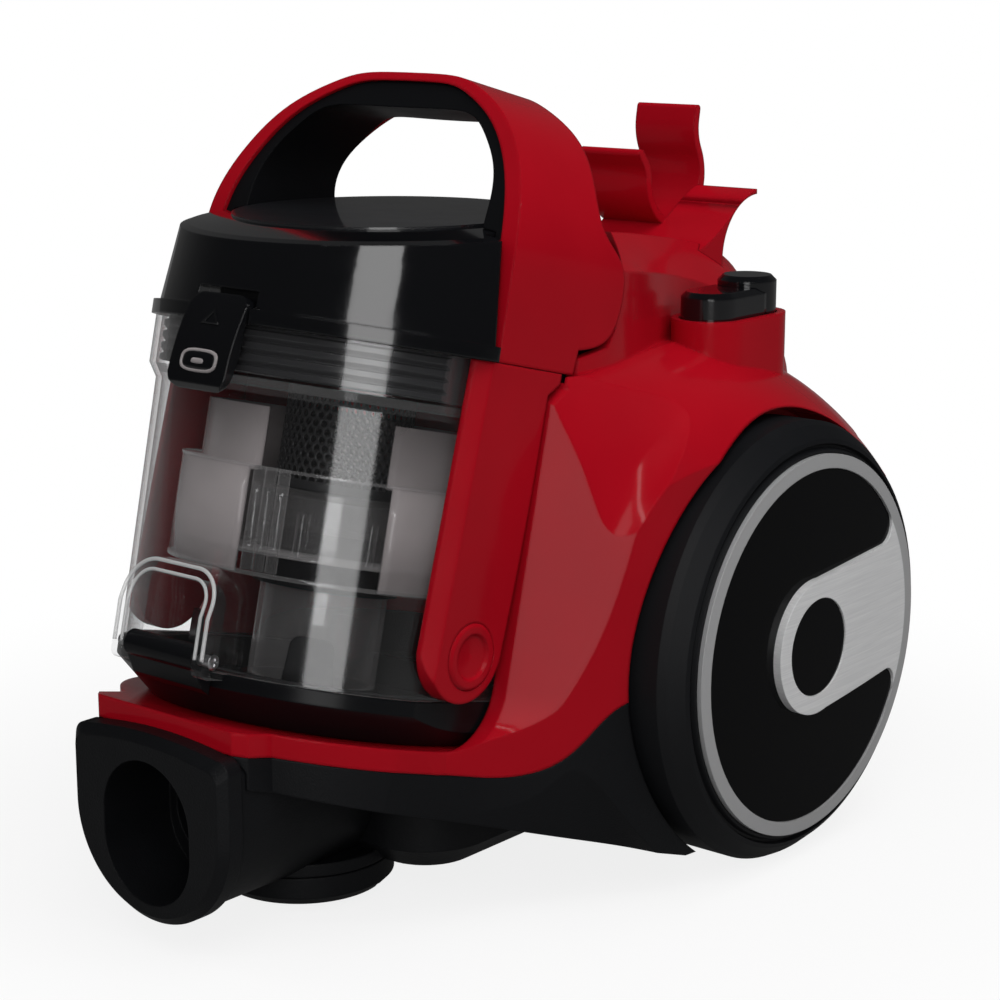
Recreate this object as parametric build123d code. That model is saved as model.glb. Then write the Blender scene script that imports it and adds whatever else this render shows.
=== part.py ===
from build123d import *
import os
from math import cos, radians, sin, sqrt

# Compact bagless canister vacuum cleaner, millimetres, +Z up, front towards -Y, left side towards +X.
# Pieces are modelled about the point on the floor under the wheel axle, and placed when they are written,
# so that the finished part stands with its box centred over the origin.

# Overall layout
LENGTH = 381.0            # nozzle face to rear bumper
AXLE_FROM_FRONT = 214.5   # nozzle face back to the wheel axle
GROUND_CLEARANCE = 14.0   # flat underside above the floor
HOUSING_WALL = 3.0
GAP = 0.5                 # between bodies that move past each other
FIT = 0.15                # between pieces fixed to each other
PIN_FIT = 0.05            # radial play of a pin or shaft in its bore

# Wheels
WHEEL_RADIUS = 82.0
WHEEL_FACE_X = 124.5      # plane of the silver ring from the centre plane
WHEEL_CROWN = 3.0         # how far the middle of the plate stands out
TYRE_INNER_X = 93.0
TYRE_SEAT_RADIUS = 71.2
TRIM_RING_RADIUS = 70.9
TRIM_RING_WIDTH = 5.2
TRIM_HUB_RADIUS = 25.3
TRIM_BAND_WIDTH = 50.0
TRIM_BAND_LIFT = 5.0      # degrees that the band rises to the rear
TRIM_CORNER = 7.0
TRIM_THICKNESS = 2.0
HUB_BADGE_RADIUS = 18.2
CAP_RECESS = 0.4          # gloss inserts behind the silver
AXLE_RADIUS = 6.0
WELL_RADIUS = 85.5
WELL_X = 89.0

# Caster under the nozzle
CASTER_AHEAD = 140.0      # ahead of the axle
CASTER_RADIUS = 32.5
CASTER_SKIRT_BOTTOM = 5.0
CASTER_POST_RADIUS = 9.0
CASTER_TRAIL = 8.0
ROLLER_RADIUS = 6.5
ROLLER_WIDTH = 22.0
ROLLER_PIN_RADIUS = 2.0
ROLLER_EDGE = 1.5
POST_ROOF = 1.4           # plate left above the caster's post
BELLY_Z = 16.0            # underside of the middle, above the caster
PLATE_THICKNESS = 4.5

# Dust cup, in its own leaning frame: across x, back s, up its axis h
CUP_TILT = 13.7
CUP_AHEAD = 125.8         # base centre ahead of the axle
CUP_BASE_Z = 80.0
CUP_RADIUS = 75.5
CUP_TAPER = 1.0
CUP_HEIGHT = 115.0
CUP_WALL = 2.2
CUP_FLAT_X = 68.5
COLLAR_RADIUS = 78.5
COLLAR_HEIGHT = 17.0
COLLAR_CONE = 5.0

# Side arms of the cup
ARM_OUTER_X = 75.0
ARM_TOP_FRONT_S = 29.0
ARM_BACK_S = 6.7
ARM_FLARE = 5.8           # how far the rear edge turns out under the handle
ARM_FRONT_S = 34.0        # front edge at the round end
ARM_BEVEL = 4.5
ARM_CAP_S = -13.0
ARM_CAP_H = 16.5
ARM_END_DROP = 16.0
ARM_END_BACK_S = 2.5
ARM_CAP_RADIUS = 11.5
ARM_CAP_DEPTH = 2.0
CAP_RELIEF = 0.8          # ring above and dish below the arm's face

# Bottom flap
FLAP_DEPTH = 16.5
FLAP_BOTTOM_RADIUS = 62.0
FLAP_RIM = 5.0
FLAP_FLOOR = 5.0
HINGE_S = -80.0
HINGE_H = 4.0
HINGE_PIN_RADIUS = 2.0
KNUCKLE_RADIUS = 4.5
KNUCKLE_HALF = 16.5
EAR_THICKNESS = 5.0
LOOP_TOP_H = 34.0         # clear rib over the hinge
LOOP_CORNER = 12.0
SEAL_GROOVE = 2.4

# Ledge and seat of the housing
LEDGE_RADIUS = 71.0
LEDGE_THICKNESS = 8.0
SEAT_RADIUS = 80.0
SEAT_CURVE = 12.0
UPPER_SEAT_RADIUS = 82.0
FLANK_INNER_S = 8.2       # flank just behind the arm
FLANK_OUTER_S = 31.3      # flank at the fender
FLANK_CURVE = 22.0        # radius where the flank runs into the ledge
FLARE_NECK = 11.0         # where the flank starts to turn back, under the cup's top
FLARE_HEAD = 5.0
FENDER_X = 115.0
FENDER_AHEAD = 6.0        # middle of the fender's round ahead of the axle
FENDER_LIFT = 2.0
HUMP_FOOT_Z = 60.0
BUMPER_Z = 72.0           # top of the rear bumper
BUMPER_SLOPE = 24.0
BUMPER_STEP = 6.0
BUMPER_RISE = 14.0
NOSE_RISE = 0.33          # slope of the underside towards the nozzle
SEAM_CREST = (-76.0, 79.0)
SEAM_REAR_Z = 70.0

# Nozzle
NOZZLE_HALF = 37.5
NOZZLE_TOP_Z = 75.0
NOZZLE_BOTTOM_Z = 9.5
NOZZLE_LIP = 9.0
NOZZLE_BEVEL = 3.0
NOZZLE_DEPTH = 90.0
TONGUE_CORNER = 4.0       # of the ledge's tongue over the nozzle
MOUTH_WIDTH = 42.0
MOUTH_TOP_Z = 67.0
MOUTH_BOTTOM_Z = 16.5
MOUTH_DEPTH = 30.0
BORE_RADIUS = 17.5
BORE_DEPTH = 38.0         # from the back of the mouth
BORE_Z = 40.0

# Buttons
TOWER_X = 66.0
TOWER_BACK = 27.0
TOWER_WIDTH = 30.0
TOWER_LENGTH = 54.0
TOWER_TOP_Z = 196.0
TOWER_RIM = 3.2
BUTTON_POCKET = 14.0
BUTTON_TRAVEL = 3.5
BUTTON_FRONT_TOP_Z = 206.0
BUTTON_REAR_TOP_Z = 210.0
SPRING_RADIUS = 4.0
SPRING_WIRE = 1.2

# Lid, filter and handle
LID_RIM_RADIUS = 80.2
LID_RIM_HEIGHT = 5.0
LID_SHOULDER_Z = 236.0
LID_SHOULDER_RADIUS = 73.0
LID_SHOULDER_AHEAD = 92.0
LID_TOP_Z = 240.0
LID_DISC_RADIUS = 55.0
LID_DISC_STEP = 0.8
LID_SIDE_X = 62.5         # where the lid stops beside the handle's legs
HANDLE_TOP_Z = 288.0
HANDLE_SHELL = 7.0
HANDLE_SHELL_TOP = 3.2
GRIP_HALF = 57.0
HANDLE_SPRING_H = 148.0   # height where the sides start to curve in
HANDLE_FRONT_S = -21.0
HANDLE_BACK_S = 29.0
HANDLE_EAR_S = 42.0
HANDLE_CREST_S = -4.0
CHEEK_FOOT_S = 21.0       # lower front corner of the cheek
CHEEK_FOOT_H = 124.0

# Latch on the lid's front
LATCH_WIDTH = 27.0
LATCH_TOP_H = 124.0
LATCH_BOTTOM_H = 91.0
LATCH_PIN_RADIUS = 1.5
LATCH_PIVOT_H = 119.0
LATCH_PIVOT_S = -75.6

# Cyclone inside the cup
CYCLONE_S = -8.0
SCREEN_RADIUS = 23.0
SCREEN_WALL = 1.2
CYCLONE_WALL = 1.8
DRUM_RIM = 2.5
DRUM_POST_RADIUS = 2.2
SCREEN_BOTTOM_H = 62.0
SKIRT_RADIUS = 47.0
SKIRT_BOTTOM_H = 40.0
SKIRT_TOP_H = 88.0

# Accessory holder
CLIP_RADIUS = 17.0
CLIP_WALL = 3.5
CLIP_BACK = 84.0
CLIP_Z = 240.0
CLIP_WIDTH = 30.0
CLIP_FLARE = 12.0         # radius of the front prong
SADDLE_RADIUS = 25.0

# Works inside
WORKS_TOP_Z = 166.0
PORT_H = 36.0             # air port into the cup
PORT_RADIUS = 11.0
DUCT_S = 84.4
DUCT_DEPTH = 15.0
DUCT_WIDTH = 48.0
DUCT_HEIGHT = 18.0
DUCT_Z = 28.0
DUCT_WALL = 1.8
MOTOR_BACK = 30.0
MOTOR_Z = 84.0
MOTOR_RADIUS = 36.0
FAN_RADIUS = 41.0
MOTOR_LENGTH = 104.0
MOTOR_WALL = 2.5
MOTOR_PORT_RADIUS = 6.0
MOTOR_SHAFT_RADIUS = 4.0
REEL_BACK = 112.0
REEL_Z = 58.0
REEL_RADIUS = 34.0
REEL_WIDTH = 40.0
REEL_AXLE_RADIUS = 6.0
GRILLE_WIDTH = 92.0
GRILLE_HEIGHT = 24.0
GRILLE_Z = 42.0
GLAND_RADIUS = 5.0
GLAND_Z = 62.0
SWITCH_SIZE = (14.0, 22.0, 9.0)

AXLE_Y = AXLE_FROM_FRONT - LENGTH / 2
FRONT = -AXLE_FROM_FRONT
REAR = LENGTH - AXLE_FROM_FRONT
CUP = Plane(
    origin=(0, -CUP_AHEAD, CUP_BASE_Z),
    x_dir=(1, 0, 0),
    z_dir=(0, sin(radians(CUP_TILT)), cos(radians(CUP_TILT))),
).location
LEDGE_H = -FLAP_DEPTH - GAP
FAR = 400.0               # beyond the part, for cutting bodies

# Cross-sections of the shoulders: back from the axle, fender edge x and z, rolled edge x and z, crest x and z
SHOULDER_STATIONS = [
    (FRONT, 101, 140, 93, 172, 80, 188),
    (-95, 101, 140, 93, 172, 80, 188),
    (-40, FENDER_X, 150, 96, 175, 70, 188),
    (0, FENDER_X + 1, 158, 98, 172, 61, 188),
    (50, FENDER_X - 1, 145, 92, 163, 52, 180),
    (110, FENDER_X - 15, 100, 76, 128, 40, 150),
    (REAR + 2, FENDER_X - 45, 40, 52, 58, 20, 72),
]
# Cross-sections of the hump: back from the axle, foot x, edge x and z, crest x and z
HUMP_STATIONS = [
    (-84, 76, 73, 222, 50, 233),
    (-49, 74, 71, 220, 47, 231),
    (0, 60, 54, 213, 40, 227),
    (27, 53, 46, 208, 34, 223),
    (79, 48, 42, 190, 24, 212),
    (112, 44, 37, 166, 17, 192),
    (158, 26, 22, 90, 8, 104),
]
# Limit of the fenders: out from the centre plane, radius about the axle
FENDER_RIM = [
    (58, 190), (66, 150), (78, 126), (88, 111), (100, 96), (108, 92.5), (FENDER_X + 3, WELL_RADIUS + 3.5),
]


def cup_yz(s, h):
    """Place of a point of the leaning cup frame in the side view."""
    tilt = radians(CUP_TILT)
    return (-CUP_AHEAD + s * cos(tilt) + h * sin(tilt), CUP_BASE_Z - s * sin(tilt) + h * cos(tilt))


def outline(*points):
    return make_face(Polyline(*points, close=True))


def rounded(radius, *points):
    face = outline(*points)
    return fillet(face.vertices(), radius)


def turned(*points):
    """Solid turned about the Z axis from radius and height points."""
    return revolve(Plane.XZ * outline(*points), Axis.Z)


def tube(outer, inner, low, high):
    return turned((inner, low), (outer, low), (outer, high), (inner, high))


def rod_x(radius, low, high, y=0.0, z=0.0):
    """Round bar along X."""
    bar = extrude(Plane.YZ * Circle(radius), high - low)
    return Pos(low, y, z) * bar


def slab_x(face, low, high):
    """Side-view face drawn in Y and Z, carried along X."""
    return Pos(low, 0, 0) * extrude(Plane.YZ * face, high - low)


def both_sides(half):
    return half + mirror(half, Plane.YZ)


def mirrored_line(points):
    """Closed outline from its right-hand points, listed from front or bottom to back or top."""
    return points + [(-x, y) for x, y in reversed(points)]


# Housings


def shoulders(inset):
    """Flanks, rolled fender edges and sloping tops, lofted through cross-sections from front to rear."""
    sections = []
    for back, edge, edge_z, mid, mid_z, inner, top_z in SHOULDER_STATIONS:
        outer = (edge - inset, edge_z - inset)
        roll = (mid - inset, mid_z - inset)
        crest = (inner, top_z - inset)
        section = make_face([
            Line((-outer[0], 0), (outer[0], 0)),
            Line((outer[0], 0), outer),
            Spline(outer, roll, crest),
            Line(crest, (-crest[0], crest[1])),
            Spline((-crest[0], crest[1]), (-roll[0], roll[1]), (-outer[0], outer[1])),
            Line((-outer[0], outer[1]), (-outer[0], 0)),
        ])
        sections.append(Pos(0, back, 0) * (Plane.XZ * section))
    return loft(sections)


def underside():
    """Side-view region above the sloping front, the flat bottom and the rear bumper."""
    flat_front = -CUP_AHEAD + CUP_RADIUS - 7
    rise = (flat_front - FRONT) * NOSE_RISE
    return outline(
        (flat_front, GROUND_CLEARANCE), (REAR - BUMPER_SLOPE, GROUND_CLEARANCE),
        (REAR - BUMPER_STEP, GROUND_CLEARANCE + BUMPER_RISE), (REAR, BUMPER_Z),
        (REAR, FAR), (FRONT, FAR), (FRONT, GROUND_CLEARANCE + rise),
    )


def fender_barrel():
    """Round limit about the axle that narrows outwards, so the fenders follow the wheels."""
    first = FENDER_RIM[0]
    last = FENDER_RIM[-1]
    half = make_face([
        Line((0, 0), (0, FAR)),
        Line((0, FAR), (first[0], FAR)),
        Line((first[0], FAR), first),
        Spline(*FENDER_RIM),
        Line(last, (last[0], 0)),
        Line((last[0], 0), (0, 0)),
    ])
    return Pos(0, -FENDER_AHEAD, WHEEL_RADIUS + FENDER_LIFT) * both_sides(revolve(Plane.XZ * half, Axis.X))


def body_plan():
    """Top view: tongue over the nozzle, round ledge, shoulders out to the fenders, rounded rear."""
    centre = cup_yz(0, LEDGE_H)[0]
    nose = (0, centre - LEDGE_RADIUS)
    cheek = (LEDGE_RADIUS * 0.985, centre - LEDGE_RADIUS * 0.17)
    mid = (LEDGE_RADIUS * 0.66, centre - LEDGE_RADIUS * 0.751)
    front = ThreePointArc(nose, mid, cheek)
    flank = Spline(
        cheek, (89, -110), (101, -93), (FENDER_X - 5, -55), (FENDER_X, -5), (FENDER_X - 3, 55), (95, 125),
        (55, REAR - 6), (0, REAR),
        tangents=[(0.35, 1), (-1, 0)],
    )
    half = make_face([front, flank, Line((0, REAR), nose)])
    tongue_front = FRONT + NOZZLE_LIP + FIT
    width = NOZZLE_HALF - 1
    tongue = outline(
        (0, tongue_front), (width - TONGUE_CORNER, tongue_front), (width, tongue_front + TONGUE_CORNER),
        (width, centre), (0, centre),
    )
    return both_sides(half + tongue)


def body_block():
    """Common form of the two housings before they are parted."""
    form = extrude(body_plan(), FAR) & slab_x(underside(), -FAR, FAR)
    form &= fender_barrel()
    return form & shoulders(0)


def hump(inset):
    """Raised back behind the handle, narrowing and falling to the rear."""
    sections = []
    for back, foot, edge, edge_z, crest, crest_z in HUMP_STATIONS:
        half = [(foot - inset, HUMP_FOOT_Z), (edge - inset, edge_z - inset), (crest, crest_z - inset)]
        sections.append(Pos(0, back, 0) * (Plane.XZ * outline(*mirrored_line(half))))
    return loft(sections)


def seam_side(lift):
    """Side-view region above the parting line of red and black, moved up by lift."""
    front_low = cup_yz(-120, LEDGE_H - LEDGE_THICKNESS + lift)
    dip = cup_yz(0, LEDGE_H - LEDGE_THICKNESS + lift)
    crest = (SEAM_CREST[0], SEAM_CREST[1] + lift)
    rise = Spline(
        dip, (crest[0] - 30, crest[1] - 20), (crest[0] - 19, crest[1] - 8), crest,
        tangents=[(cos(radians(CUP_TILT)), -sin(radians(CUP_TILT))), (1, 0.15)],
    )
    back_low = (REAR + 20, SEAM_REAR_Z + lift)
    edges = [
        Line(front_low, dip),
        rise,
        Line(crest, back_low),
        Line(back_low, (REAR + 20, FAR)),
        Line((REAR + 20, FAR), (front_low[0], FAR)),
        Line((front_low[0], FAR), front_low),
    ]
    return make_face(edges)


def flank_section(back, flare):
    """Side view of the room in front of the flank: ledge, large radius, upright flank, flared head."""
    low = LEDGE_H
    bend = FLANK_CURVE * (1 - cos(radians(45)))
    neck = CUP_HEIGHT - FLARE_NECK
    head = CUP_HEIGHT - FLARE_HEAD
    edges = [
        Line((-FAR, low), (back - FLANK_CURVE, low)),
        ThreePointArc((back - FLANK_CURVE, low), (back - bend, low + bend), (back, low + FLANK_CURVE)),
        Line((back, low + FLANK_CURVE), (back, neck)),
        Line((back, neck), (back + flare, head)),
        Line((back + flare, head), (back + flare, FAR)),
        Line((back + flare, FAR), (-FAR, FAR)),
        Line((-FAR, FAR), (-FAR, low)),
    ]
    return make_face(edges)


def flank_room():
    """Open space beside the cup: straight beside the arm, then sweeping back to the fender's crease."""
    inner_x = ARM_OUTER_X + GAP
    inner = flank_section(FLANK_INNER_S, ARM_FLARE)
    outer = flank_section(FLANK_OUTER_S, ARM_FLARE / 4)
    sweep = loft([Pos(inner_x, 0, 0) * (Plane.YZ * inner), Pos(FENDER_X - 5, 0, 0) * (Plane.YZ * outer)])
    return both_sides(slab_x(inner, 0, inner_x) + sweep)


def cheek_room():
    """Room for the handle's cheeks as they come down behind the arms."""
    low = CUP_HEIGHT - 3
    gap = 2 * GAP
    back = HANDLE_EAR_S + gap
    side = outline(
        (-FAR, low), (CHEEK_FOOT_S + gap, low), (CHEEK_FOOT_S + gap, CHEEK_FOOT_H - 3 * gap),
        (back - 4, CHEEK_FOOT_H + 3 * gap), (back, CHEEK_FOOT_H + 10 * gap), (back, FAR), (-FAR, FAR),
    )
    return slab_x(side, -ARM_OUTER_X - GAP, ARM_OUTER_X + GAP)


def seat_tool():
    """Everything the housing leaves free above its ledge: a round tub with flat sides behind the cup,
    a wider mouth for the lid and the handle's cheeks, and open flanks in front of the shoulders."""
    low = LEDGE_H
    flat = SEAT_RADIUS - SEAT_CURVE
    curve = ThreePointArc(
        (flat, low),
        (flat + SEAT_CURVE * sin(radians(45)), low + SEAT_CURVE * (1 - cos(radians(45)))),
        (SEAT_RADIUS, low + SEAT_CURVE),
    )
    edges = [
        Line((0, low), (flat, low)),
        curve,
        Line((SEAT_RADIUS, low + SEAT_CURVE), (SEAT_RADIUS, FAR)),
        Line((SEAT_RADIUS, FAR), (0, FAR)),
        Line((0, FAR), (0, low)),
    ]
    tub = revolve(Plane.XZ * make_face(edges), Axis.Z) & Box(2 * (CUP_FLAT_X + 2 * GAP), FAR, 2 * FAR)
    mouth = Pos(0, 0, CUP_HEIGHT - 3) * Cylinder(
        UPPER_SEAT_RADIUS, FAR, align=(Align.CENTER, Align.CENTER, Align.MIN)
    )
    mouth &= Box(2 * (CUP_FLAT_X + 2 * GAP), FAR, 2 * FAR)
    return CUP * (tub + mouth + cheek_room() + flank_room())


def wheel_wells():
    well = rod_x(WELL_RADIUS, WELL_X, FAR, 0, WHEEL_RADIUS)
    return both_sides(well)


def works_side():
    """Side view of the hollow behind the seat wall."""
    low = GROUND_CLEARANCE + HOUSING_WALL
    wall = SEAT_RADIUS + HOUSING_WALL + 1
    foot = cup_yz(wall, -12)
    head = cup_yz(wall, 100)
    return outline(
        (foot[0], low), foot, head, (head[0] + 14, WORKS_TOP_Z - 6), (4, WORKS_TOP_Z), (44, WORKS_TOP_Z),
        (60, WORKS_TOP_Z - 10), (110, WORKS_TOP_Z - 44), (REAR - 16, BUMPER_Z + 2), (REAR - 16, BUMPER_Z / 2),
        (REAR - 30, low),
    )


def works_space():
    """Hollow behind the seat for motor, reel and ducts, and the hollow of the hump above it."""
    half = WELL_X - HOUSING_WALL
    step = 55
    front = Pos(0, step - FAR / 2, 0) * Box(2 * half, FAR, 2 * FAR)
    rear = Pos(0, step + FAR / 2, 0) * Box(2 * half - 56, FAR, 2 * FAR)
    lower = slab_x(works_side(), -FAR, FAR) & shoulders(HOUSING_WALL + 1) & (front + rear)
    crest = outline((6, 150), (6, 204), (44, 201), (44, 178), (96, 172), (112, 120), (60, 120))
    beside_tower = TOWER_X - TOWER_WIDTH / 2 - HOUSING_WALL
    upper = hump(HOUSING_WALL + 1) & slab_x(crest, -beside_tower, beside_tower)
    return lower + upper


def tower_outline(grow):
    return SlotCenterToCenter(TOWER_LENGTH - TOWER_WIDTH, TOWER_WIDTH + 2 * grow, rotation=90)


def tower_place(z):
    return Pos(TOWER_X, TOWER_BACK, z)


def port_hole(radius, near, far):
    """Round bore through the seat wall and the cup's back, along the cup frame's s."""
    bore = extrude(Plane.XZ * Circle(radius), -(far - near))
    return CUP * (Pos(0, near, PORT_H) * bore)


def axle_holes():
    return rod_x(AXLE_RADIUS + FIT, -FAR, FAR, 0, WHEEL_RADIUS)


def upper_housing():
    shell = body_block() + (hump(0) & extrude(body_plan(), FAR))
    tower = tower_place(150) * extrude(tower_outline(0), TOWER_TOP_Z - 150)
    shell += tower
    shell &= slab_x(seam_side(FIT), -FAR, FAR)
    shell -= seat_tool()
    shell -= wheel_wells()
    shell -= works_space()
    shell -= nozzle_envelope(FIT)
    pocket_floor = TOWER_TOP_Z - BUTTON_POCKET
    shell -= tower_place(pocket_floor) * extrude(tower_outline(-TOWER_RIM), FAR)
    shell -= holder_foot(FIT)
    shell -= axle_holes()
    shell -= port_hole(PORT_RADIUS, SEAT_RADIUS - 10, SEAT_RADIUS + 12)
    return shell


def belly():
    """Deeper middle of the base between nozzle and flat bottom, with a bevelled edge."""
    length = CASTER_AHEAD - 52
    face = RectangleRounded(2 * LEDGE_RADIUS - 18, length, 26)
    block = extrude(face, 40)
    block = chamfer(block.faces().sort_by(Axis.Z)[0].edges(), 8.0)
    return Pos(0, -52 - length / 2, BELLY_Z) * block


def caster_plate(grow):
    """Round plate under the nozzle that the caster turns in."""
    return caster_place() * (
        Pos(0, 0, BELLY_Z) * Cylinder(
            CASTER_RADIUS + grow, PLATE_THICKNESS + grow, align=(Align.CENTER, Align.CENTER, Align.MIN)
        )
    )


def rear_window(grow):
    """Space of the exhaust panel in the rear wall."""
    size = (GRILLE_WIDTH + 2 * grow, 60, GRILLE_HEIGHT + 2 * grow)
    return Pos(0, REAR - 30, GRILLE_Z) * Box(*size, align=(Align.CENTER, Align.MIN, Align.CENTER))


def gland_bore(radius, low, high):
    """Round space through the rear wall for the cord outlet."""
    bore = extrude(Plane.XZ * Circle(radius), -(high - low))
    return Pos(0, low, GLAND_Z) * bore


def lower_housing():
    pan = body_block() + belly()
    pan -= slab_x(seam_side(0), -FAR, FAR)
    pan -= seat_tool()
    pan -= wheel_wells()
    pan -= works_space()
    pan -= nozzle_envelope(FIT)
    pan += caster_plate(0)
    post_top = BELLY_Z + PLATE_THICKNESS - POST_ROOF
    pan -= caster_place() * Cylinder(
        CASTER_POST_RADIUS + PIN_FIT, post_top, align=(Align.CENTER, Align.CENTER, Align.MIN)
    )
    pan -= duct_form(FIT, FRONT + NOZZLE_DEPTH - 5)
    pan -= rear_window(FIT)
    pan -= gland_bore(GLAND_RADIUS + FIT, REAR - 40, REAR + 10)
    pan -= axle_holes()
    return pan


# Nozzle


def nozzle_face(inset):
    """Front of the nozzle: flat arched top with rounded corners over a half-round bottom."""
    half = NOZZLE_HALF - inset
    top = NOZZLE_TOP_Z - inset
    centre = NOZZLE_BOTTOM_Z + NOZZLE_HALF
    edges = [
        Line((-half, centre), (-half, top - 6)),
        ThreePointArc((-half, top - 6), (-half + 1.5, top - 3), (-half + 6, top - 1.5)),
        ThreePointArc((-half + 6, top - 1.5), (0, top + 1), (half - 6, top - 1.5)),
        ThreePointArc((half - 6, top - 1.5), (half - 1.5, top - 3), (half, top - 6)),
        Line((half, top - 6), (half, centre)),
        ThreePointArc((half, centre), (0, centre - half), (-half, centre)),
    ]
    return make_face(edges)


def nozzle_envelope(grow):
    """Outside of the nozzle: a thick lip in front and a body that runs back under the ledge."""
    face = Plane.XZ * nozzle_face(-grow)
    back_face = Plane.XZ * nozzle_face(2.0 - grow)
    lip = Pos(0, FRONT + NOZZLE_LIP + grow, 0) * extrude(face, NOZZLE_LIP + grow + 5)
    body = Pos(0, FRONT + NOZZLE_DEPTH + grow, 0) * extrude(back_face, NOZZLE_DEPTH)
    body &= slab_x(ledge_underside(grow), -FAR, FAR)
    return lip + body


def ledge_underside(grow):
    """Side-view region under the ledge."""
    front = cup_yz(-FAR, LEDGE_H - LEDGE_THICKNESS - FIT + grow)
    back = cup_yz(FAR, LEDGE_H - LEDGE_THICKNESS - FIT + grow)
    return outline(front, back, (back[0], -FAR), (front[0], -FAR))


def inlet_socket():
    rim = Plane.XZ * nozzle_face(0)
    back_face = Plane.XZ * nozzle_face(2.0)
    face = Plane.XZ * nozzle_face(NOZZLE_BEVEL)
    bevel = loft([Pos(0, FRONT + NOZZLE_BEVEL, 0) * rim, Pos(0, FRONT, 0) * face])
    lip = Pos(0, FRONT + NOZZLE_LIP, 0) * extrude(rim, NOZZLE_LIP - NOZZLE_BEVEL) + bevel
    body = Pos(0, FRONT + NOZZLE_DEPTH, 0) * extrude(back_face, NOZZLE_DEPTH - NOZZLE_LIP)
    body &= slab_x(ledge_underside(0), -FAR, FAR)
    socket = lip + body
    mouth = Plane.XZ * (
        Pos(0, (MOUTH_TOP_Z + MOUTH_BOTTOM_Z) / 2)
        * SlotOverall(MOUTH_TOP_Z - MOUTH_BOTTOM_Z, MOUTH_WIDTH, rotation=90)
    )
    socket -= Pos(0, FRONT + MOUTH_DEPTH, 0) * extrude(mouth, MOUTH_DEPTH + 10)
    bore = Plane.XZ * (Pos(0, BORE_Z) * Circle(BORE_RADIUS))
    socket -= Pos(0, FRONT + MOUTH_DEPTH + BORE_DEPTH, 0) * extrude(bore, MOUTH_DEPTH + BORE_DEPTH)
    throat = RectangleRounded(DUCT_WIDTH - 2 * DUCT_WALL, DUCT_HEIGHT - 2 * DUCT_WALL, 5)
    throat = Plane.XZ * (Pos(0, DUCT_Z) * throat)
    throat_length = NOZZLE_DEPTH - MOUTH_DEPTH - BORE_DEPTH + 3
    socket -= Pos(0, FRONT + NOZZLE_DEPTH + 1, 0) * extrude(throat, throat_length)
    socket -= caster_place() * Cylinder(
        CASTER_RADIUS + 2, BELLY_Z, align=(Align.CENTER, Align.CENTER, Align.MIN)
    )
    return socket - caster_plate(FIT)


# Wheels, drawn for the left side about the axle


def wheel_profile(*points):
    """Solid turned about the axle from distance along X and radius points."""
    face = Plane.XZ * outline(*points)
    return Pos(0, 0, WHEEL_RADIUS) * revolve(face, Axis.X)


def tyre():
    face_x = WHEEL_FACE_X
    return wheel_profile(
        (TYRE_INNER_X, TYRE_SEAT_RADIUS - 8), (TYRE_INNER_X, WHEEL_RADIUS - 3),
        (TYRE_INNER_X + 3, WHEEL_RADIUS), (face_x - 11, WHEEL_RADIUS), (face_x - 8, WHEEL_RADIUS - 1.6),
        (face_x - 3, WHEEL_RADIUS - 6), (face_x - 2.4, WHEEL_RADIUS - 7.6),
        (face_x - 4, WHEEL_RADIUS - 8.2), (face_x - 3.8, WHEEL_RADIUS - 9.2),
        (face_x - 1.6, WHEEL_RADIUS - 9.8), (face_x - 1.6, TYRE_SEAT_RADIUS),
        (TYRE_INNER_X + 4, TYRE_SEAT_RADIUS), (TYRE_INNER_X + 4, TYRE_SEAT_RADIUS - 8),
    )


def wheel_disc():
    """Dished wheel with a hub, a web, a rim and six ribs on its inner side."""
    bore = AXLE_RADIUS + PIN_FIT
    rim = TYRE_SEAT_RADIUS - FIT
    plate_x = WHEEL_FACE_X - TRIM_THICKNESS - 3.0
    disc = wheel_profile(
        (WELL_X + 2, bore), (WELL_X + 2, bore + 8), (plate_x - 4, bore + 8), (plate_x - 4, rim - 5),
        (TYRE_INNER_X + 4 + FIT, rim - 5), (TYRE_INNER_X + 4 + FIT, rim), (plate_x, rim), (plate_x, bore),
    )
    for turn in range(6):
        rib = Box(16, rim - bore - 10, 3, align=(Align.MAX, Align.MIN, Align.CENTER))
        rib = Pos(plate_x - 3.5, bore + 6, 0) * rib
        disc += Pos(0, 0, WHEEL_RADIUS) * (Rot(60 * turn, 0, 0) * rib)
    return disc


def wheel_crown():
    """Shallow domed plate with a flat back, across the wheel's face."""
    edge = TRIM_RING_RADIUS
    back = WHEEL_FACE_X - TRIM_THICKNESS
    crown = WHEEL_FACE_X + WHEEL_CROWN
    edges = [
        ThreePointArc((crown, 0), (crown - WHEEL_CROWN / 2, edge / sqrt(2)), (WHEEL_FACE_X, edge)),
        Line((WHEEL_FACE_X, edge), (back, edge)),
        Line((back, edge), (back, 0)),
        Line((back, 0), (crown, 0)),
    ]
    return Pos(0, 0, WHEEL_RADIUS) * revolve(Plane.XZ * make_face(edges), Axis.X)


def trim_sketch(grow):
    """Silver figure of the plate: outer ring, hub ring and the broad band to the rear."""
    ring = Circle(TRIM_RING_RADIUS + 1)
    inner = TRIM_RING_RADIUS - TRIM_RING_WIDTH - grow
    hub = Circle(TRIM_HUB_RADIUS + grow)
    length = inner + 2
    band = Rectangle(length, TRIM_BAND_WIDTH + 2 * grow, align=(Align.MIN, Align.CENTER))
    window = Circle(inner) - hub - Rot(0, 0, TRIM_BAND_LIFT) * band
    corners = [v for v in window.vertices() if abs(v.center().length - inner) < 1.0]
    window = fillet(corners, TRIM_CORNER)
    return ring - window


def trim_prism(grow):
    sketch = Plane.YZ * trim_sketch(grow)
    return Pos(WELL_X, 0, WHEEL_RADIUS) * extrude(sketch, FAR)


def hub_prism(radius):
    return rod_x(radius, WELL_X, FAR, 0, WHEEL_RADIUS)


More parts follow.
